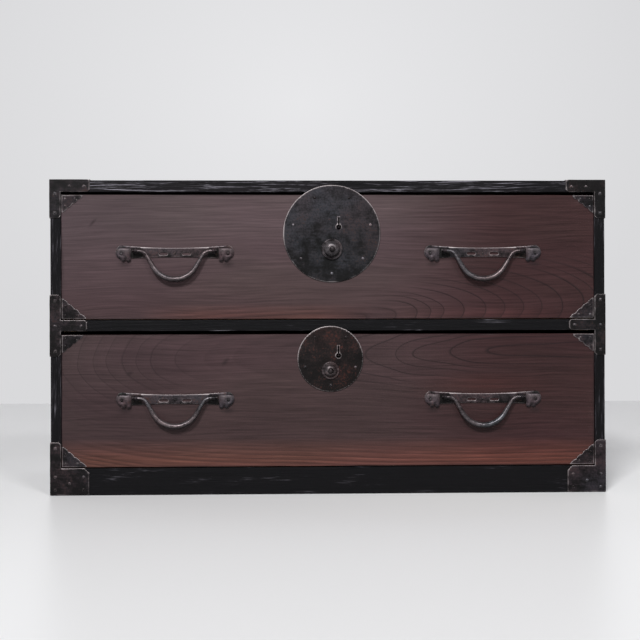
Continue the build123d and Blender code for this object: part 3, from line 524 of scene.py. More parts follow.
    # Where the lacquer is thin, each ring pales and then darkens clearly towards its late wood.
    early = add("Math MULTIPLY_ADD", clear, 0.4, 1.05)
    dense = add("Math MULTIPLY_ADD", clear, -0.36, 0.93)
    late = add("MapRange", ring, 0.0, 1.0, early, dense)
    for share in (patch, late):
        shade = add("Math MULTIPLY", shade, share)
    wood = add("VectorMath MULTIPLY", wood, shade)
    wood = tinted(add, wood, place, (2.5, 2.5, 8.0), "#fbfffa", "#fffafd")
    edge = add("Attribute", attribute_name="edge", out=2)
    rubbed = add("Math MULTIPLY", edge, cloud)
    rubbed = add("MapRange", rubbed, 0.3, 0.7, 0.0, 0.75)
    wood = add("Blend", rubbed, wood, colour("#1c1314"))
    # The face inside the drawer was never lacquered.
    inside = add("TexCoord", out=1)
    inside = add("VectorMath DOT_PRODUCT", inside, (0.0, 1.0, 0.0), out=1)
    inside = add("MapRange", inside, 0.6, 0.9, 0.0, 1.0)
    bare = add("VectorMath MULTIPLY", colour("#8d6a4c")[:3], shade)
    wood = add("Blend", inside, wood, bare)
    gloss = add("MapRange", fibres, 0.3, 0.7, 0.36, 0.46)
    height = add("Math MULTIPLY_ADD", bands, 0.5, fibres)
    bump = add("Bump", 0.18, 0.0004, named={"Height": height})
    set_shader(shader, Base_Color=wood, Roughness=gloss, Normal=bump, IOR=1.5, Specular_IOR_Level=0.2)
    return material


def plain_wood(name, dark, light, axis=0, boards=None):
    """Unfinished paulownia and cedar: pale, dry and matt, with straight soft grain, greyed by age."""
    material, add, shader = new_material(name)
    place = add("TexCoord", out=3)
    # Growth lines lie 8 mm apart. The fibres are drawn 1.7 mm wide, coarser than they are, so that they show.
    lines = add("TexNoise", place, None, 1.0, 3.0, stretch=[3.0 if i == axis else 130.0 for i in range(3)])
    fibres = add("TexNoise", place, None, 1.0, 3.0, stretch=[24.0 if i == axis else 600.0 for i in range(3)])
    stains = add("TexNoise", place, None, 6.0, 4.0)
    mixed = add("Math MULTIPLY_ADD", fibres, 0.45, lines)
    wood = add("ValToRGB", mixed, ramp=[(0.5, dark), (0.88, light)])
    aged = add("MapRange", stains, 0.3, 0.75, 0.78, 1.08)
    wood = add("VectorMath MULTIPLY", wood, aged)
    if boards:
        # Boards from different trees, one above the other.
        _, _, z = add("SeparateXYZ", place, out=None)
        number = add("MapRange", z, boards[0], boards[1], 0.0, boards[2])
        joint = add("Math PINGPONG", number, 0.5)
        joint = add("MapRange", joint, 0.003, 0.01, 0.3, 1.0)
        number = add("Math FLOOR", number)
        chance = add("TexWhiteNoise 1D", None, number)
        chance = add("MapRange", chance, 0.0, 1.0, 0.72, 1.1)
        chance = add("Math MULTIPLY", chance, joint)
        wood = add("VectorMath MULTIPLY", wood, chance)
    bump = add("Bump", 0.3, 0.0003, named={"Height": mixed})
    set_shader(shader, Base_Color=wood, Roughness=0.75, Normal=bump, IOR=1.5)
    return material


def forged_iron(name, dark, light, rust, gloss=0.46, metal=0.28, blotched=3.2):
    """Iron blackened over fire with lacquer: brown-black and satin, greyer where it is rubbed, speckled with rust,
    with a painted highlight on edges that look up and painted shade on what looks down.
    """
    material, add, shader = new_material(name)
    place = add("TexCoord", out=3)
    tone = add("Attribute", attribute_name="tone", out=2)
    edge = add("Attribute", attribute_name="edge", out=2)
    # Forge scale lies in blotches of 24 mm, pitted and rust-specked every 3 mm and brushed crosswise.
    blotch = add("TexNoise", place, None, 42.0, 6.0, 0.65)
    speck = add("TexNoise", place, None, 300.0, 3.0, 0.7)
    brushed = add("TexNoise", place, None, 1.0, 3.0, stretch=(30.0, 30.0, 330.0))
    share = add("Math MULTIPLY_ADD", blotch, blotched, -blotched / 2)
    share = add("Math MULTIPLY_ADD", brushed, 0.9, share)
    share = add("Math SUBTRACT", share, 0.45)
    share = add("Math ADD", share, tone, use_clamp=True)
    body = add("Blend", share, colour(dark), colour(light))
    rusty = add("Math MULTIPLY", blotch, speck)
    rusty = add("ValToRGB", rusty, ramp=[(0.29, 0.0), (0.42, 1.0)])
    body = add("Blend", rusty, body, colour(rust))
    grains = add("MapRange", speck, 0.34, 0.66, 0.45, 1.6)
    body = add("VectorMath MULTIPLY", body, grains)
    body = tinted(add, body, place, (13.0, 13.0, 13.0), "#eefaff", "#fff0ee")
    rubbed = add("Math POWER", edge, 2.2)
    facing = add("TexCoord", out=1)
    facing = add("VectorMath DOT_PRODUCT", facing, (-0.2, 0.0, 0.97), out=1)
    # Painted light: worn edges pale only where they look up and a little to the left, which paints a highlight, and
    # what looks down is darkened as painted shade.
    sooty = add("MapRange", facing, -0.5, -0.05, 0.3, 1.0)
    body = add("VectorMath MULTIPLY", body, sooty)
    upward = add("MapRange", facing, -0.11, 0.38, 0.0, 1.0)
    patchy = add("MapRange", blotch, 0.3, 0.6, 0.35, 1.0)
    rubbed = add("Math MULTIPLY", rubbed, patchy)
    rubbed = add("Math MULTIPLY", rubbed, upward)
    rubbed = add("MapRange", rubbed, 0.04, 0.4, 0.0, 0.95)
    # A tone above 1.3 paints a highlight, such as the strip along the bowed top edge of a backplate.
    painted_highlight = add("MapRange", tone, 1.3, 2.0, 0.0, 1.0)
    rubbed = add("Math MAXIMUM", rubbed, painted_highlight)
    body = add("Blend", rubbed, body, colour("#bcb2b3"))
    rough = add("MapRange", blotch, 0.3, 0.7, gloss - 0.09, gloss + 0.12)
    height = add("Math MULTIPLY_ADD", speck, 0.35, blotch)
    bump = add("Bump", 0.6, 0.0008, named={"Height": height})
    bare = add("Math MULTIPLY_ADD", rubbed, 0.3, metal, use_clamp=True)
    set_shader(shader, Base_Color=body, Metallic=bare, Roughness=rough, Normal=bump, Specular_IOR_Level=0.2)
    return material


# Pieces


class CHEST_OT_case(bpy.types.Operator):
    """Black lacquered boards of the case, with rubbed and ridged edges."""

    bl_idname = "chest.case"
    bl_label = "Case boards"

    @staticmethod
    def cuts_across(low, high):
        """Cuts that lie close together behind the front face, where hands rub it, and far apart further back."""
        return [low.y + depth for depth in (0.0015, 0.003, 0.0055, 0.01)] + spread(low.y, high.y, 0.03)

    def execute(self, context):
        front_depth = 0.02
        lying = lacquered_frame("wiped black lacquer, grain across", False)
        standing = lacquered_frame("wiped black lacquer, grain upright", True)
        edge, wear = sizes().wood_edge, sizes().wood_wear

        def ridged(along, depth):
            def shape(place, normal, nearness):
                stretch = Vector((place.z, place.y, place.x)) if along == 2 else place
                ridge = abs(noise.noise(Vector((stretch.x * 14, stretch.y * 260, stretch.z * 260))))
                chip = max(0.0, noise.noise(place * 38) + 0.15)
                return depth * max(0.0, 0.5 - ridge) + nearness ** 2 * wear * chip
            return shape

        low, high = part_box("top_board")
        cuts = {
            0: spread(low.x, high.x, 0.009),
            1: self.cuts_across(low, high),
            2: spread(low.z, high.z, 0.0012),
        }
        # The top rail's front has more pale streaks towards the left: worn lacquer and painted highlight.
        worked(
            "top_board", lying, "lacquered_frame_wood", edge, cuts, ridged(0, 0.0006),
            tone=lambda p: 0.75 - 0.45 * p.x if p.y < low.y + front_depth else 0.0)
        cuts = grid("mid_rail", (0.009, None, 0.0016))
        worked("mid_rail", lying, "lacquered_frame_wood", edge, cuts, ridged(0, 0.0004), tone=lambda p: -0.25)
        cuts = grid("bottom_rail", (0.009, None, 0.004))
        worked("bottom_rail", lying, "lacquered_frame_wood", edge, cuts, ridged(0, 0.0002), tone=lambda p: -0.22)
        # The left side's front has more pale streaks than the right's: worn lacquer and painted highlight.
        for side, worn in zip(SIDES, (0.22, -0.05)):
            node = f"{side}_side_panel"
            low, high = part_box(node)
            cuts = {
                0: spread(low.x, high.x, 0.0025),
                1: self.cuts_across(low, high),
                2: spread(low.z, high.z, 0.012),
            }
            worked(
                node, standing, "lacquered_frame_wood", edge, cuts, ridged(2, 0.0003),
                tone=lambda p: worn if p.y < low.y + front_depth else -0.45)
        return {"FINISHED"}


class CHEST_OT_inner_wood(bpy.types.Operator):
    """Unfinished boards inside and behind the case, the drawer boxes, and their pegs."""

    bl_idname = "chest.inner_wood"
    bl_label = "Inner wood"

    def execute(self, context):
        across = plain_wood("aged paulownia, grain across", "#8a6d50", "#b8997a")
        deep = plain_wood("aged paulownia, grain from front to back", "#8a6d50", "#b8997a", axis=1)
        cedar = plain_wood("aged cedar, grain across", "#6a5140", "#8d7058")
        low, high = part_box("back_boards")
        behind = plain_wood("aged cedar, back boards", "#6a5140", "#8d7058", boards=(low.z, high.z, 4))
        pegs = plain_wood("deutzia pegs, end grain", "#8c7048", "#b89a68")
        for node in ("bottom_board", "dust_board"):
            dress(node, cedar)
        dress("back_boards", behind)
        for side in SIDES:
            dress(f"{side}_shelf_runner", deep)
        dress("back_board_pegs", pegs)
        for drawer in DRAWERS:
            for part, material in (("left_side", deep), ("right_side", deep), ("back", across), ("bottom", across)):
                dress(f"{drawer}_drawer_{part}", material)
            dress(f"{drawer}_drawer_pegs", pegs)
        return {"FINISHED"}


class CHEST_OT_drawer_fronts(bpy.types.Operator):
    """Figured drawer fronts under wiped red-brown lacquer."""

    bl_idname = "chest.drawer_fronts"
    bl_label = "Drawer fronts"

    def execute(self, context):
        upper = figured_front(
            "wiped-lacquer zelkova, upper front", (0.305, 0.06),
            [(0.0, 0.05), (0.29, 0.02), (0.5, 0.03), (0.6, 0.07), (0.68, 0.15), (0.8, 0.27), (0.9, 0.36), (1.0, 0.46)],
            0.0078, ("#331e1f", tints().upper_front, "#5e3b38"),
            [(-0.28, 0.03, 0.298, 0.320, 0.05, "#93503b", 0.9), (0.12, 0.4, 0.3, 0.314, 0.06, "#6b3429", 0.6)],
            (0.02, 0.0, 0.010), (0.006, 0.0, 0.0022), (0.10, 0.24, 0.32, 0.47),
            marks=((-0.41, 0.4725, 48, 0.014, 0.004), *self.grime("upper")))
        lower = figured_front(
            "wiped-lacquer zelkova, lower front", (0.242, 0.02),
            [(0.0, 0.62), (0.1, 0.5), (0.2, 0.4), (0.3, 0.33), (0.4, 0.28), (0.5, 0.24), (0.6, 0.19), (0.64, 0.155),
             (0.714, 0.125), (0.766, 0.09), (0.9, 0.07), (1.0, 0.06)], 0.0078,
            ("#301c1d", tints().lower_front, "#704540"),
            [(-0.49, 0.49, 0.04, 0.078, 0.08, "#bd6e51", 0.9), (0.2, 0.34, 0.18, 0.198, 0.06, "#783527", 0.8)],
            (0.03, 0.0, 0.016), (0.006, 0.0, 0.003), (0.06, 0.11, 0.05, 0.27),
            marks=((-0.181, 0.231, 50, 0.014, 0.006), (-0.347, 0.211, 20, 0.01, 0.006), *self.grime("lower")))
        edge, wear = sizes().wood_edge, sizes().wood_wear

        def shape(place, normal, nearness):
            swell = 0.0001 * (1 + noise.noise(Vector((place.x * 9, 0, place.z * 60))))
            chip = max(0.0, noise.noise(place * 30) + 0.1)
            return swell + nearness ** 2 * wear * chip

        for drawer, material in zip(DRAWERS, (upper, lower)):
            node = f"{drawer}_drawer_front"
            cuts = grid(node, (0.012, None, 0.009))
            worked(node, material, "drawer_front_wood", edge, cuts, shape)
        return {"FINISHED"}

    @staticmethod
    def grime(drawer):
        """Painted shadows: dark marks on the wood just below the lobes of the backplates, where the lobes would cast
        shade.
        """
        marks = []
        for side in SIDES:
            low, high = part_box(f"{drawer}_{side}_backplate")
            for end in (low.x + 0.015, high.x - 0.011):
                marks.append((end, low.z - 0.0035, 0, 0.017, 0.0095))
        return marks


def strap_eye(solid, centre, hole, rim, width):
    """A rounded ring about a level bar that runs from left to right."""
    profile = [(-width / 2, hole), (-width / 2, rim - 0.0006), (-width / 2 + 0.0006, rim),
               (width / 2 - 0.0006, rim), (width / 2, rim - 0.0006), (width / 2, hole)]
    count = 28
    rows = []
    for number in range(count):
        angle = 2 * pi * number / count
        rows.append([
            solid.verts.new(centre + Vector((x, radius * cos(angle), radius * sin(angle)))) for x, radius in profile])
    made = []
    for number in range(count):
        one, two = rows[number], rows[(number + 1) % count]
        for step in range(len(profile)):
            after = (step + 1) % len(profile)
            made.append(solid.faces.new((one[step], one[after], two[after], two[step])))
    bmesh.ops.recalc_face_normals(solid, faces=made)


def tapered_bar(solid, start, end, start_size, end_size, depth=None):
    """A bar of eight sides from one place to another."""
    way = (end - start).normalized()
    across = way.orthogonal().normalized()
    up = way.cross(across)
    flat = depth / start_size if depth else 1.0
    rings = []
    for place, size in ((start, start_size), (end, end_size)):
        rings.append([
            solid.verts.new(place + size * (cos(a) * across + flat * sin(a) * up))
            for a in [pi / 8 + pi / 4 * number for number in range(8)]])
    made = [solid.faces.new(rings[0]), solid.faces.new(rings[1])]
    for number in range(8):
        after = (number + 1) % 8
        made.append(solid.faces.new((rings[0][number], rings[0][after], rings[1][after], rings[1][number])))
    bmesh.ops.recalc_face_normals(solid, faces=made)


class CHEST_OT_ironwork(bpy.types.Operator):
    """Forged plates, collars, posts, knobs and bails, filed at their edges and dented by the hammer."""

    bl_idname = "chest.ironwork"
    bl_label = "Ironwork"

    def execute(self, context):
        plate = forged_iron("fire-blackened wrought iron plate", "#0a0809", tints().iron, "#251713")
        brown = forged_iron("fire-blackened wrought iron, rusted", "#0b0606", "#231919", "#331913")
        handled = forged_iron("wrought iron, worn by hands", "#0b0909", "#3f373b", "#30201b")
        bright = forged_iron("wrought iron, polished by hands", "#191517", "#767174", "#2b2120", 0.33, 0.66, 1.4)
        turned = forged_iron("wrought iron, filed round and handled", "#1c1617", "#6a6061", "#3a2824", 0.36, 0.5, 2.2)
        broad = forged_iron("fire-blackened wrought iron, scoured", "#0a090a", "#2f2d32", "#241814")
        edge, dent = sizes().iron_edge, sizes().iron_dent

        def dented(depth, reach, rim=0.4, calm=0.0):
            def shape(place, normal, nearness):
                dent = 0.5 * (1 + noise.noise(place / reach)) * (1 - calm * nearness)
                return depth * (dent + rim * nearness)
            return shape

        for corner, levels in (("top", (0.15, -0.16)), ("middle", (0.15, -0.1)), ("bottom", (0.15, 0.5))):
            for side, level in zip(SIDES, levels):
                node = f"{corner}_{side}_frame_iron"
                worked(
                    node, plate, "forged_iron", edge, grid(node, (0.005, 0.006, 0.005)), dented(dent, 0.012),
                    tone=lambda p, level=level: level)
        worked("strike_plates", plate, "forged_iron", edge, {}, dented(dent, 0.012))
        for drawer, metal in zip(DRAWERS, (broad, brown)):
            for part, cell, depth, material, level in (
                ("lock_plate", 0.004, 1.0, metal, 0.42 if drawer == "upper" else 0.2),
                ("knob_collar", None, 0.3, turned, 0.3),
                ("lock_knob", None, 0.2, turned, 0.55),
                ("left_backplate", 0.002, 0.9, handled, 0.45),
                ("right_backplate", 0.002, 0.9, handled, 0.45),
                ("corner_irons", 0.003, 0.8, plate, 0.3),
                ("left_bail", None, 0.4, bright, 0.5),
                ("right_bail", None, 0.4, bright, 0.5),
            ):
                node = f"{drawer}_{part}"
                cuts = grid(node, (cell, None, cell)) if cell else {}
                if part.endswith("bail"):
                    cuts = grid(node, (0.003, None, None))
                shape = dented(dent * depth, 0.009, *((0.15, 0.8) if part == "lock_plate" else ()))
                if part.endswith("bail"):
                    shape = self.swollen(node, shape)
                rim = edge * {"knob": 0.0, "plate": 1.1, "backplate": 1.3}.get(part.split("_")[-1], 1.0)
                piece = worked(node, material, "forged_iron", rim, cuts, shape, tone=self.worn(node, level))
                if part.endswith("backplate"):
                    self.forge_lobes(piece, node)
                elif part == "lock_plate":
                    self.crown(piece, node, drawer)
                elif part.endswith("bail"):
                    self.dull_ends(piece, node)
            for part in ("lock_case", "lock_spring", "lock_crank", "lock_bolt"):
                dress(f"{drawer}_{part}", bright if part == "lock_case" else plate)
            self.posts(drawer, plate)
        return {"FINISHED"}

    @staticmethod
    def posts(drawer, metal):
        """Split posts: a strap bent round the bail's end, driven through the front and turned over behind it."""
        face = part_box(f"{drawer}_drawer_front")[0].y
        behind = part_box(f"{drawer}_handle_posts")[1].y
        solid = bmesh.new()
        for side in SIDES:
            low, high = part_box(f"{drawer}_{side}_backplate")
            bail_low, bail_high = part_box(f"{drawer}_{side}_bail")
            middle = (low.x + high.x) / 2
            pin_y, pin_z = bail_low.y + ROD_DEPTH, bail_high.z - ROD_HEIGHT
            for turn in (-1, 1):
                centre = Vector((middle + turn * POST_SPAN, pin_y, pin_z))
                strap_eye(solid, centre, EYE_HOLE, EYE_RIM, STRAP_WIDTH)
                tapered_bar(solid, centre + Vector((0, 0.003, 0)), Vector((centre.x, behind - 0.0012, pin_z)),
                            STRAP_BACK, 0.0022)
                for way in (-1, 1):
                    tapered_bar(solid, Vector((centre.x, behind - 0.0006, pin_z)),
                                Vector((centre.x + way * LEAF_REACH, behind - 0.0006, pin_z + way * 0.001)),
                                0.0005, 0.0022, 0.0014)
                seat = Vector((centre.x, face - SEAT_DEPTH, pin_z))
                tapered_bar(solid, seat, seat + Vector((0, SEAT_DEPTH, 0)), SEAT_RADIUS, SEAT_RADIUS)
        tones = solid.verts.layers.float.new("tone")
        for vertex in solid.verts:
            vertex[tones] = 0.5
        finish_piece(f"{drawer}_split_posts", solid, body_of(f"{drawer}_handle_posts"), [metal], "forged_iron",
                     f"{drawer}_handle_posts", smooth=40)

    @staticmethod
    def worn(node, level):
        """How bare the iron is, with painted light: the lobes of the backplates are paler, the backplates carry a
        painted shadow and a painted highlight and grow paler towards the top, and the upper half and left side of the
        lock plates are paler, partly a painted sheen.
        """
        low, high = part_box(node)
        middle = (low + high) / 2
        half = (high - low) / 2
        if node.endswith("backplate"):
            # A painted shadow darkens the hollow before each lobe, below the post and the bail's end, and a painted
            # highlight lies on a thin strip along the bowed top edge.
            hollow, hollow_end, lobe_start, plate_end = 0.057, 0.0758, 0.076, 0.0933
            bow, strip, strip_end, band = 0.0047, 0.0013, 0.09, 0.006

            def bare(place):
                away = abs(place.x - middle.x)
                below = place.z < high.z - band
                lobe = away > lobe_start
                # Painted light: the tone rises towards the top, so the plate is paler at the top and darker at the
                # bottom.
                fall = 0.35 * (place.z - middle.z) / half.z
                top = high.z - bow * (1 - (away / plate_end) ** 2)
                if place.z > top - strip and away < strip_end:
                    return 1.45 if lobe else 2.0
                if lobe:
                    return 1.31 + 0.3 * fall if place.z <= high.z - band else 0.2
                return level + fall - (0.8 if below and hollow < away < hollow_end else 0.0)
            return bare
        if node.endswith("lock_plate"):
            scuff_right, scuff_up, scuff_spread = 0.24, -0.54, 0.02

            def scuff_and_sheen(place):
                right, up = (place.x - middle.x) / half.x, (place.z - middle.z) / half.z
                scuff = exp(-((right - scuff_right) ** 2 + (up - scuff_up) ** 2) / scuff_spread)
                # The scuff below and right of the knob is wear; the paling towards the top and the left is a painted
                # sheen, and the plate is darker towards the bottom.
                return level + 0.42 * up - 0.12 * right + 0.4 * scuff
            return scuff_and_sheen
        if node.endswith("bail"):
            return lambda place: level if abs(place.x - middle.x) < half.x - BAIL_END else -1.0
        if node.endswith("knob"):
            hub = 0.0056
            return lambda place: level - (0.35 if hypot(place.x - middle.x, place.z - middle.z) < hub else 0.0)
        return lambda place: level

    @staticmethod
    def swollen(node, shape):
        """A bail forged a little thicker outside its eyes, but not behind, where it comes close to the front."""
        low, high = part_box(node)
        middle, reach = (low.x + high.x) / 2, (high.x - low.x) / 2
        swell = sizes().bail_swell

        def raised(place, normal, nearness):
            free = min(1.0, max(0.0, (reach * 0.82 - abs(place.x - middle)) / (reach * 0.4)))
            return free * (shape(place, normal, nearness) - swell * (1 - max(0.0, normal.y)))
        return raised

    @staticmethod
    def crown(piece, node, drawer):
        """Curves the front of a lock plate back towards its rim."""
        low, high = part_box(node)
        for vertex in piece.data.vertices:
            forward = (high.y - vertex.co.y) / (high.y - low.y)
            vertex.co.y += forward * dish(vertex.co, drawer, sizes().plate_dish)

    @staticmethod
    def dull_ends(piece, node):
        """Keeps the ends of a bail sooty, where no hand rubs them."""
        low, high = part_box(node)
        middle, half = (low.x + high.x) / 2, (high.x - low.x) / 2
        nearness = piece.data.attributes["edge"].data
        for vertex in piece.data.vertices:
            if abs(vertex.co.x - middle) > half - BAIL_END:
                nearness[vertex.index].value *= 0.35

    @staticmethod
    def forge_lobes(piece, node):
        """Domes the thick lobes at both ends of a backplate, below the thin band along its top edge."""
        dome, fall, sunk = 0.0028, 0.0046, 0.0018
        band_foot, band_rise = 0.0055, 0.0028
        low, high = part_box(node)
        middle = (low.x + high.x) / 2
        nearness = piece.data.attributes["edge"].data
        for vertex in piece.data.vertices:
            if abs(vertex.co.x - middle) > LOBE_START:
                forward = (high.y - vertex.co.y) / (high.y - low.y)
                band = min(1.0, max(0.0, (vertex.co.z - high.z + band_foot) / band_rise))
                raised = dome - fall * nearness[vertex.index].value ** 0.6
                vertex.co.y -= forward * (raised * (1 - band) - sunk * band)
                nearness[vertex.index].value *= 0.5


class CHEST_OT_nails(bpy.types.Operator):
    """Domed nail heads, each a little different, repeated by one node tree."""

    bl_idname = "chest.nails"
    bl_label = "Nail heads"

    def execute(self, context):
        iron = forged_iron("hand-made iron nail heads", "#191516", "#767074", "#35251f", 0.32)
        tree = self.heads_tree()
        for name, node in (
            ("frame_nail_heads", "frame_iron_nails"),
            ("upper_drawer_nail_heads", "upper_drawer_nails"),
            ("lower_drawer_nail_heads", "lower_drawer_nails"),
        ):
            seats = self.seats(node)
            modifier = seats.modifiers.new("Heads", "NODES")
            modifier.node_group = tree
            for socket in tree.interface.items_tree:
                value = {
                    "Head radius": sizes().nail_radius,
                    "Head height": sizes().nail_height,
                    "Seed": sizes().nail_seed,
                    "Iron": iron,
                }.get(socket.name)
                if value is not None:
                    modifier[socket.identifier] = value
            graph = bpy.context.evaluated_depsgraph_get()
            heads = bpy.data.meshes.new_from_object(seats.evaluated_get(graph), depsgraph=graph)
            bpy.data.objects.remove(seats)
            solid = bmesh.new()
            solid.from_mesh(heads)
            tones = solid.verts.layers.float.new("tone")
            for vertex in solid.verts:
                vertex[tones] = self.polish(node, vertex.co) + 0.4 * noise.noise(vertex.co * 60)
            finish_piece(name, solid, body_of(node), [iron], "forged_iron", node, smooth=60)
        return {"FINISHED"}

    @staticmethod
    def polish(node, place):
        """How bare a head is: rubbed on the upper lock plate except at its top, sooty on the handles."""
        low, high = LOCK_PLATES["upper"]
        if low.x < place.x < high.x and low.z < place.z < high.z:
            sooty_top = 0.045
            return 0.0 if place.z > high.z - sooty_top else 0.8
        return 0.35 if node.startswith("frame") else 0.1

    @staticmethod
    def seats(node):
        """A point under each head, with the way that the head faces."""
        solid = clean_copy(node)
        seen, places, ways = set(), [], []
        for first in solid.verts:
            if first in seen:
                continue
            island, fresh = set(), [first]
            while fresh:
                vertex = fresh.pop()
                if vertex in island:
                    continue
                island.add(vertex)
                fresh += [e.other_vert(vertex) for e in vertex.link_edges]
            seen |= island
            spots = [v.co for v in island]
            low = Vector([min(c[i] for c in spots) for i in range(3)])
            high = Vector([max(c[i] for c in spots) for i in range(3)])
            size, middle = high - low, (low + high) / 2
            axis = max(range(3), key=lambda i: size[i])
            others = [i for i in range(3) if i != axis]
            wide = [c for c in spots if max(abs(c[i] - middle[i]) for i in others) > 0.4 * size[others[0]]]
            sign = 1 if sum(c[axis] for c in wide) / len(wide) > middle[axis] else -1
            way = Vector([sign * (i == axis) for i in range(3)])
            end = high[axis] if sign > 0 else low[axis]
            place = middle.copy()
            place[axis] = end - sign * sizes().nail_height
            for drawer, (corner, other) in LOCK_PLATES.items():
                if corner.x < place.x < other.x and corner.z < place.z < other.z:
                    place.y += dish(place, drawer, sizes().plate_dish)
            places.append(place)
            ways.append(way)
        solid.free()
        mesh = bpy.data.meshes.new(f"{node}_seats")
        mesh.from_pydata(places, [], [])
        facing = mesh.attributes.new("facing", "FLOAT_VECTOR", "POINT")
        for number, way in enumerate(ways):
            facing.data[number].vector = way
        return new_object(f"{node}_seats", mesh)

    @staticmethod
    def heads_tree():
        tree = bpy.data.node_groups.new("Domed nail heads", "GeometryNodeTree")
        add = partial(add_node, tree)
        faces = tree.interface
        faces.new_socket("Seats", in_out="INPUT", socket_type="NodeSocketGeometry")
        faces.new_socket("Head radius", in_out="INPUT", socket_type="NodeSocketFloat")
        faces.new_socket("Head height", in_out="INPUT", socket_type="NodeSocketFloat")
        faces.new_socket("Seed", in_out="INPUT", socket_type="NodeSocketInt")
        faces.new_socket("Iron", in_out="INPUT", socket_type="NodeSocketMaterial")
        faces.new_socket("Heads", in_out="OUTPUT", socket_type="NodeSocketGeometry")
        given = tree.nodes.new("NodeGroupInput").outputs
        dome = add("GeometryNodeMeshUVSphere", 14, 8, 1.0)
        size = add("CombineXYZ", given["Head radius"], given["Head radius"], given["Head height"])
        dome = add("GeometryNodeTransform", named={"Geometry": dome, "Scale": size})
        facing = add("GeometryNodeInputNamedAttribute", "facing", data_type="FLOAT_VECTOR")
        turn = add("FunctionNodeAlignRotationToVector", None, 1.0, facing, axis="Z")
        spin = add(
            "FunctionNodeRandomValue", (-0.08, -0.08, 0.0), (0.08, 0.08, 2 * pi), data_type="FLOAT_VECTOR",
            named={8: given["Seed"]})
        turn = add("FunctionNodeRotateRotation", turn, spin, rotation_space="LOCAL")
        scale = add(
            "FunctionNodeRandomValue", (0.9, 0.9, 0.8), (1.0, 1.0, 0.97), data_type="FLOAT_VECTOR",
            named={8: given["Seed"]})
        placed = add(
            "GeometryNodeInstanceOnPoints",
            named={"Points": given["Seats"], "Instance": dome, "Rotation": turn, "Scale": scale})
        real = add("GeometryNodeRealizeInstances", placed)
        finished = add("GeometryNodeSetMaterial", named={"Geometry": real, "Material": given["Iron"]})
        output = tree.nodes.new("NodeGroupOutput")
        tree.links.new(finished, output.inputs[0])
        return tree


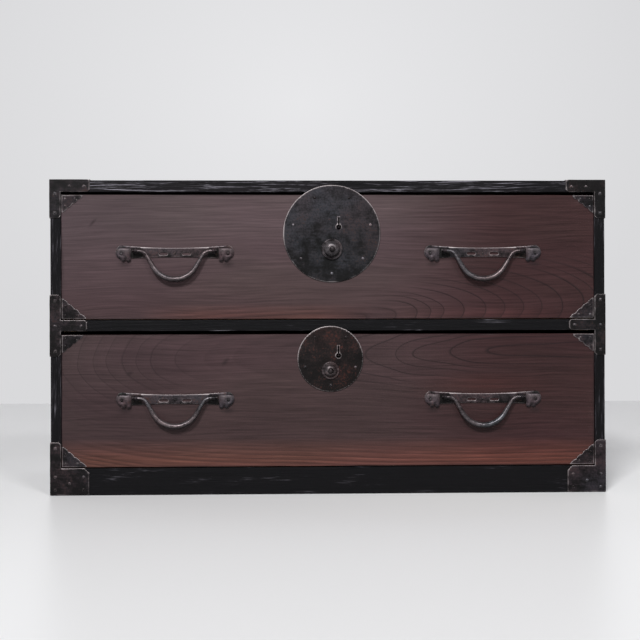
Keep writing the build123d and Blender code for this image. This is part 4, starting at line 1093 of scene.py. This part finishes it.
class CHEST_OT_stage(bpy.types.Operator):
    """Pale floor and backdrop, soft lamps, and the camera."""

    bl_idname = "chest.stage"
    bl_label = "Stage"

    ROOM = 9
    WALL_BEHIND, WALL_HEIGHT = 2.35, 6

    def execute(self, context):
        low, _ = CAD_BOX
        self.floor(low)
        self.backdrop(low)
        self.lamp("left_softbox", (-1.7, -6.4, 4.9), 580)
        self.lamp("right_softbox", (2.4, -6.2, 4.7), 180)
        world = bpy.data.worlds.new("soft grey room")
        world.use_nodes = True
        room = world.node_tree.nodes["Background"].inputs
        room["Color"].default_value = colour("#e8e8ea")
        room["Strength"].default_value = 0.13
        bpy.context.scene.world = world
        bpy.context.scene.view_settings.view_transform = "Standard"
        self.camera(low)
        return {"FINISHED"}

    @staticmethod
    def sheet(name, corners, material):
        mesh = bpy.data.meshes.new(name)
        mesh.from_pydata(corners, [], [(0, 1, 2, 3)])
        mesh.materials.append(material)
        new_object(name, mesh)

    @staticmethod
    def fading(add, middle, stretch, ramp):
        """Paint that changes with the distance from a place, measured with its own scale along each axis."""
        place = add("TexCoord", out=3)
        away = add("VectorMath SUBTRACT", place, middle)
        away = add("VectorMath MULTIPLY", away, stretch)
        gap = add("VectorMath LENGTH", away, out=1)
        return add("ValToRGB", gap, ramp=ramp)

    def floor(self, low):
        """Smooth sealed floor: pale, with a soft blurred reflection, and a painted pool of light in its colour, palest
        in front of the chest and greyer further away.
        """
        material, add, shader = new_material("sealed pale floor")
        paint = self.fading(
            add, (0.25, -0.25, low.z), (0.8, 0.9, 0.0),
            [(0.0, "#ffffff"), (0.3, "#f6f6f7"), (0.7, "#ececed"), (1.0, "#e5e5e6")])
        set_shader(shader, Base_Color=paint, Roughness=0.34, IOR=1.45, Specular_IOR_Level=0.25)
        size, z = self.ROOM, low.z
        self.sheet("floor", [(-size, -size, z), (size, -size, z), (size, size, z), (-size, size, z)], material)

    def backdrop(self, low):
        """Plain wall that glows for camera and glossy rays, with a painted pool of light: a little brighter in the
        middle and towards the top.
        """
        material, add, shader = new_material("matt wall, glowing with a painted pool of light")
        paint = self.fading(add, (0.0, 0.0, 1.1), (0.5, 0.0, 0.62), [(0.0, "#e8e8ea"), (0.7, "#d9d9db")])
        glow = add("Emission", paint, 1.0)
        ray = add("LightPath", out=None)
        seen = add("Math MAXIMUM", ray["Is Camera Ray"], ray["Is Glossy Ray"])
        set_shader(shader, Base_Color=colour("#dcdcde"), Roughness=0.8)
        surface = shader.outputs[0].links[0].to_socket
        shader.id_data.links.new(add("MixShader", seen, shader.outputs[0], glow), surface)
        size, y, foot, top = self.ROOM, self.WALL_BEHIND, low.z, low.z + self.WALL_HEIGHT
        self.sheet("wall", [(-size, y, foot), (size, y, foot), (size, y, top), (-size, y, top)], material)

    @staticmethod
    def lamp(name, place, power, aim=(0.0, 0.0, 0.25), width=1.3, height=1.1):
        data = bpy.data.lights.new(name, "AREA")
        data.shape = "RECTANGLE"
        data.size, data.size_y, data.energy = width, height, power
        made = new_object(name, data)
        made.location = place
        made.rotation_euler = (Vector(aim) - Vector(place)).to_track_quat("-Z", "Y").to_euler()

    @staticmethod
    def camera(low):
        """Level camera at mid height, a little to the left, filling a square frame."""
        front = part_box("bottom_rail")[0].y
        distance, yaw, roll = 2.3, radians(-1.9), radians(-0.15)
        half_view, half_sensor = 0.5574, 18.0
        data = bpy.data.cameras.new("camera")
        data.sensor_width = 2 * half_sensor
        data.lens = half_sensor / (half_view / distance)
        data.clip_start, data.clip_end = 0.05, 50
        made = new_object("camera", data)
        aim = Vector((-0.0165, front, low.z + 0.3029))
        made.location = aim + Vector((sin(yaw) * distance, -cos(yaw) * distance, 0))
        made.rotation_euler = ((aim - made.location).to_track_quat("-Z", "Y").to_matrix().to_4x4()
                               @ Euler((0, 0, roll)).to_matrix().to_4x4()).to_euler()
        bpy.context.scene.camera = made


# Panel and registration


OPERATORS = (
    CHEST_OT_case,
    CHEST_OT_inner_wood,
    CHEST_OT_drawer_fronts,
    CHEST_OT_ironwork,
    CHEST_OT_nails,
    CHEST_OT_stage,
)


class CHEST_PT_pieces(bpy.types.Panel):
    """Sizes, colours and pieces of the chest."""

    bl_idname = "CHEST_PT_pieces"
    bl_label = "Clothing chest"
    bl_space_type = "VIEW_3D"
    bl_region_type = "UI"
    bl_category = "Chest"

    def draw(self, context):
        for group in (context.scene.chest_sizes, context.scene.chest_colours):
            for name in group.bl_rna.properties.keys():
                if name not in ("rna_type", "name"):
                    self.layout.prop(group, name)
        for operator in OPERATORS:
            self.layout.operator(operator.bl_idname)


CLASSES = (ChestSizes, ChestColours, *OPERATORS, CHEST_PT_pieces)


def register():
    for item in CLASSES:
        bpy.utils.register_class(item)
    bpy.types.Scene.chest_sizes = PointerProperty(type=ChestSizes)
    bpy.types.Scene.chest_colours = PointerProperty(type=ChestColours)


def unregister():
    del bpy.types.Scene.chest_colours
    del bpy.types.Scene.chest_sizes
    for item in reversed(CLASSES):
        bpy.utils.unregister_class(item)


def main():
    register()
    bpy.ops.chest.case()
    bpy.ops.chest.inner_wood()
    bpy.ops.chest.drawer_fronts()
    bpy.ops.chest.ironwork()
    bpy.ops.chest.nails()
    bpy.ops.chest.stage()


if __name__ == "__main__":
    main()
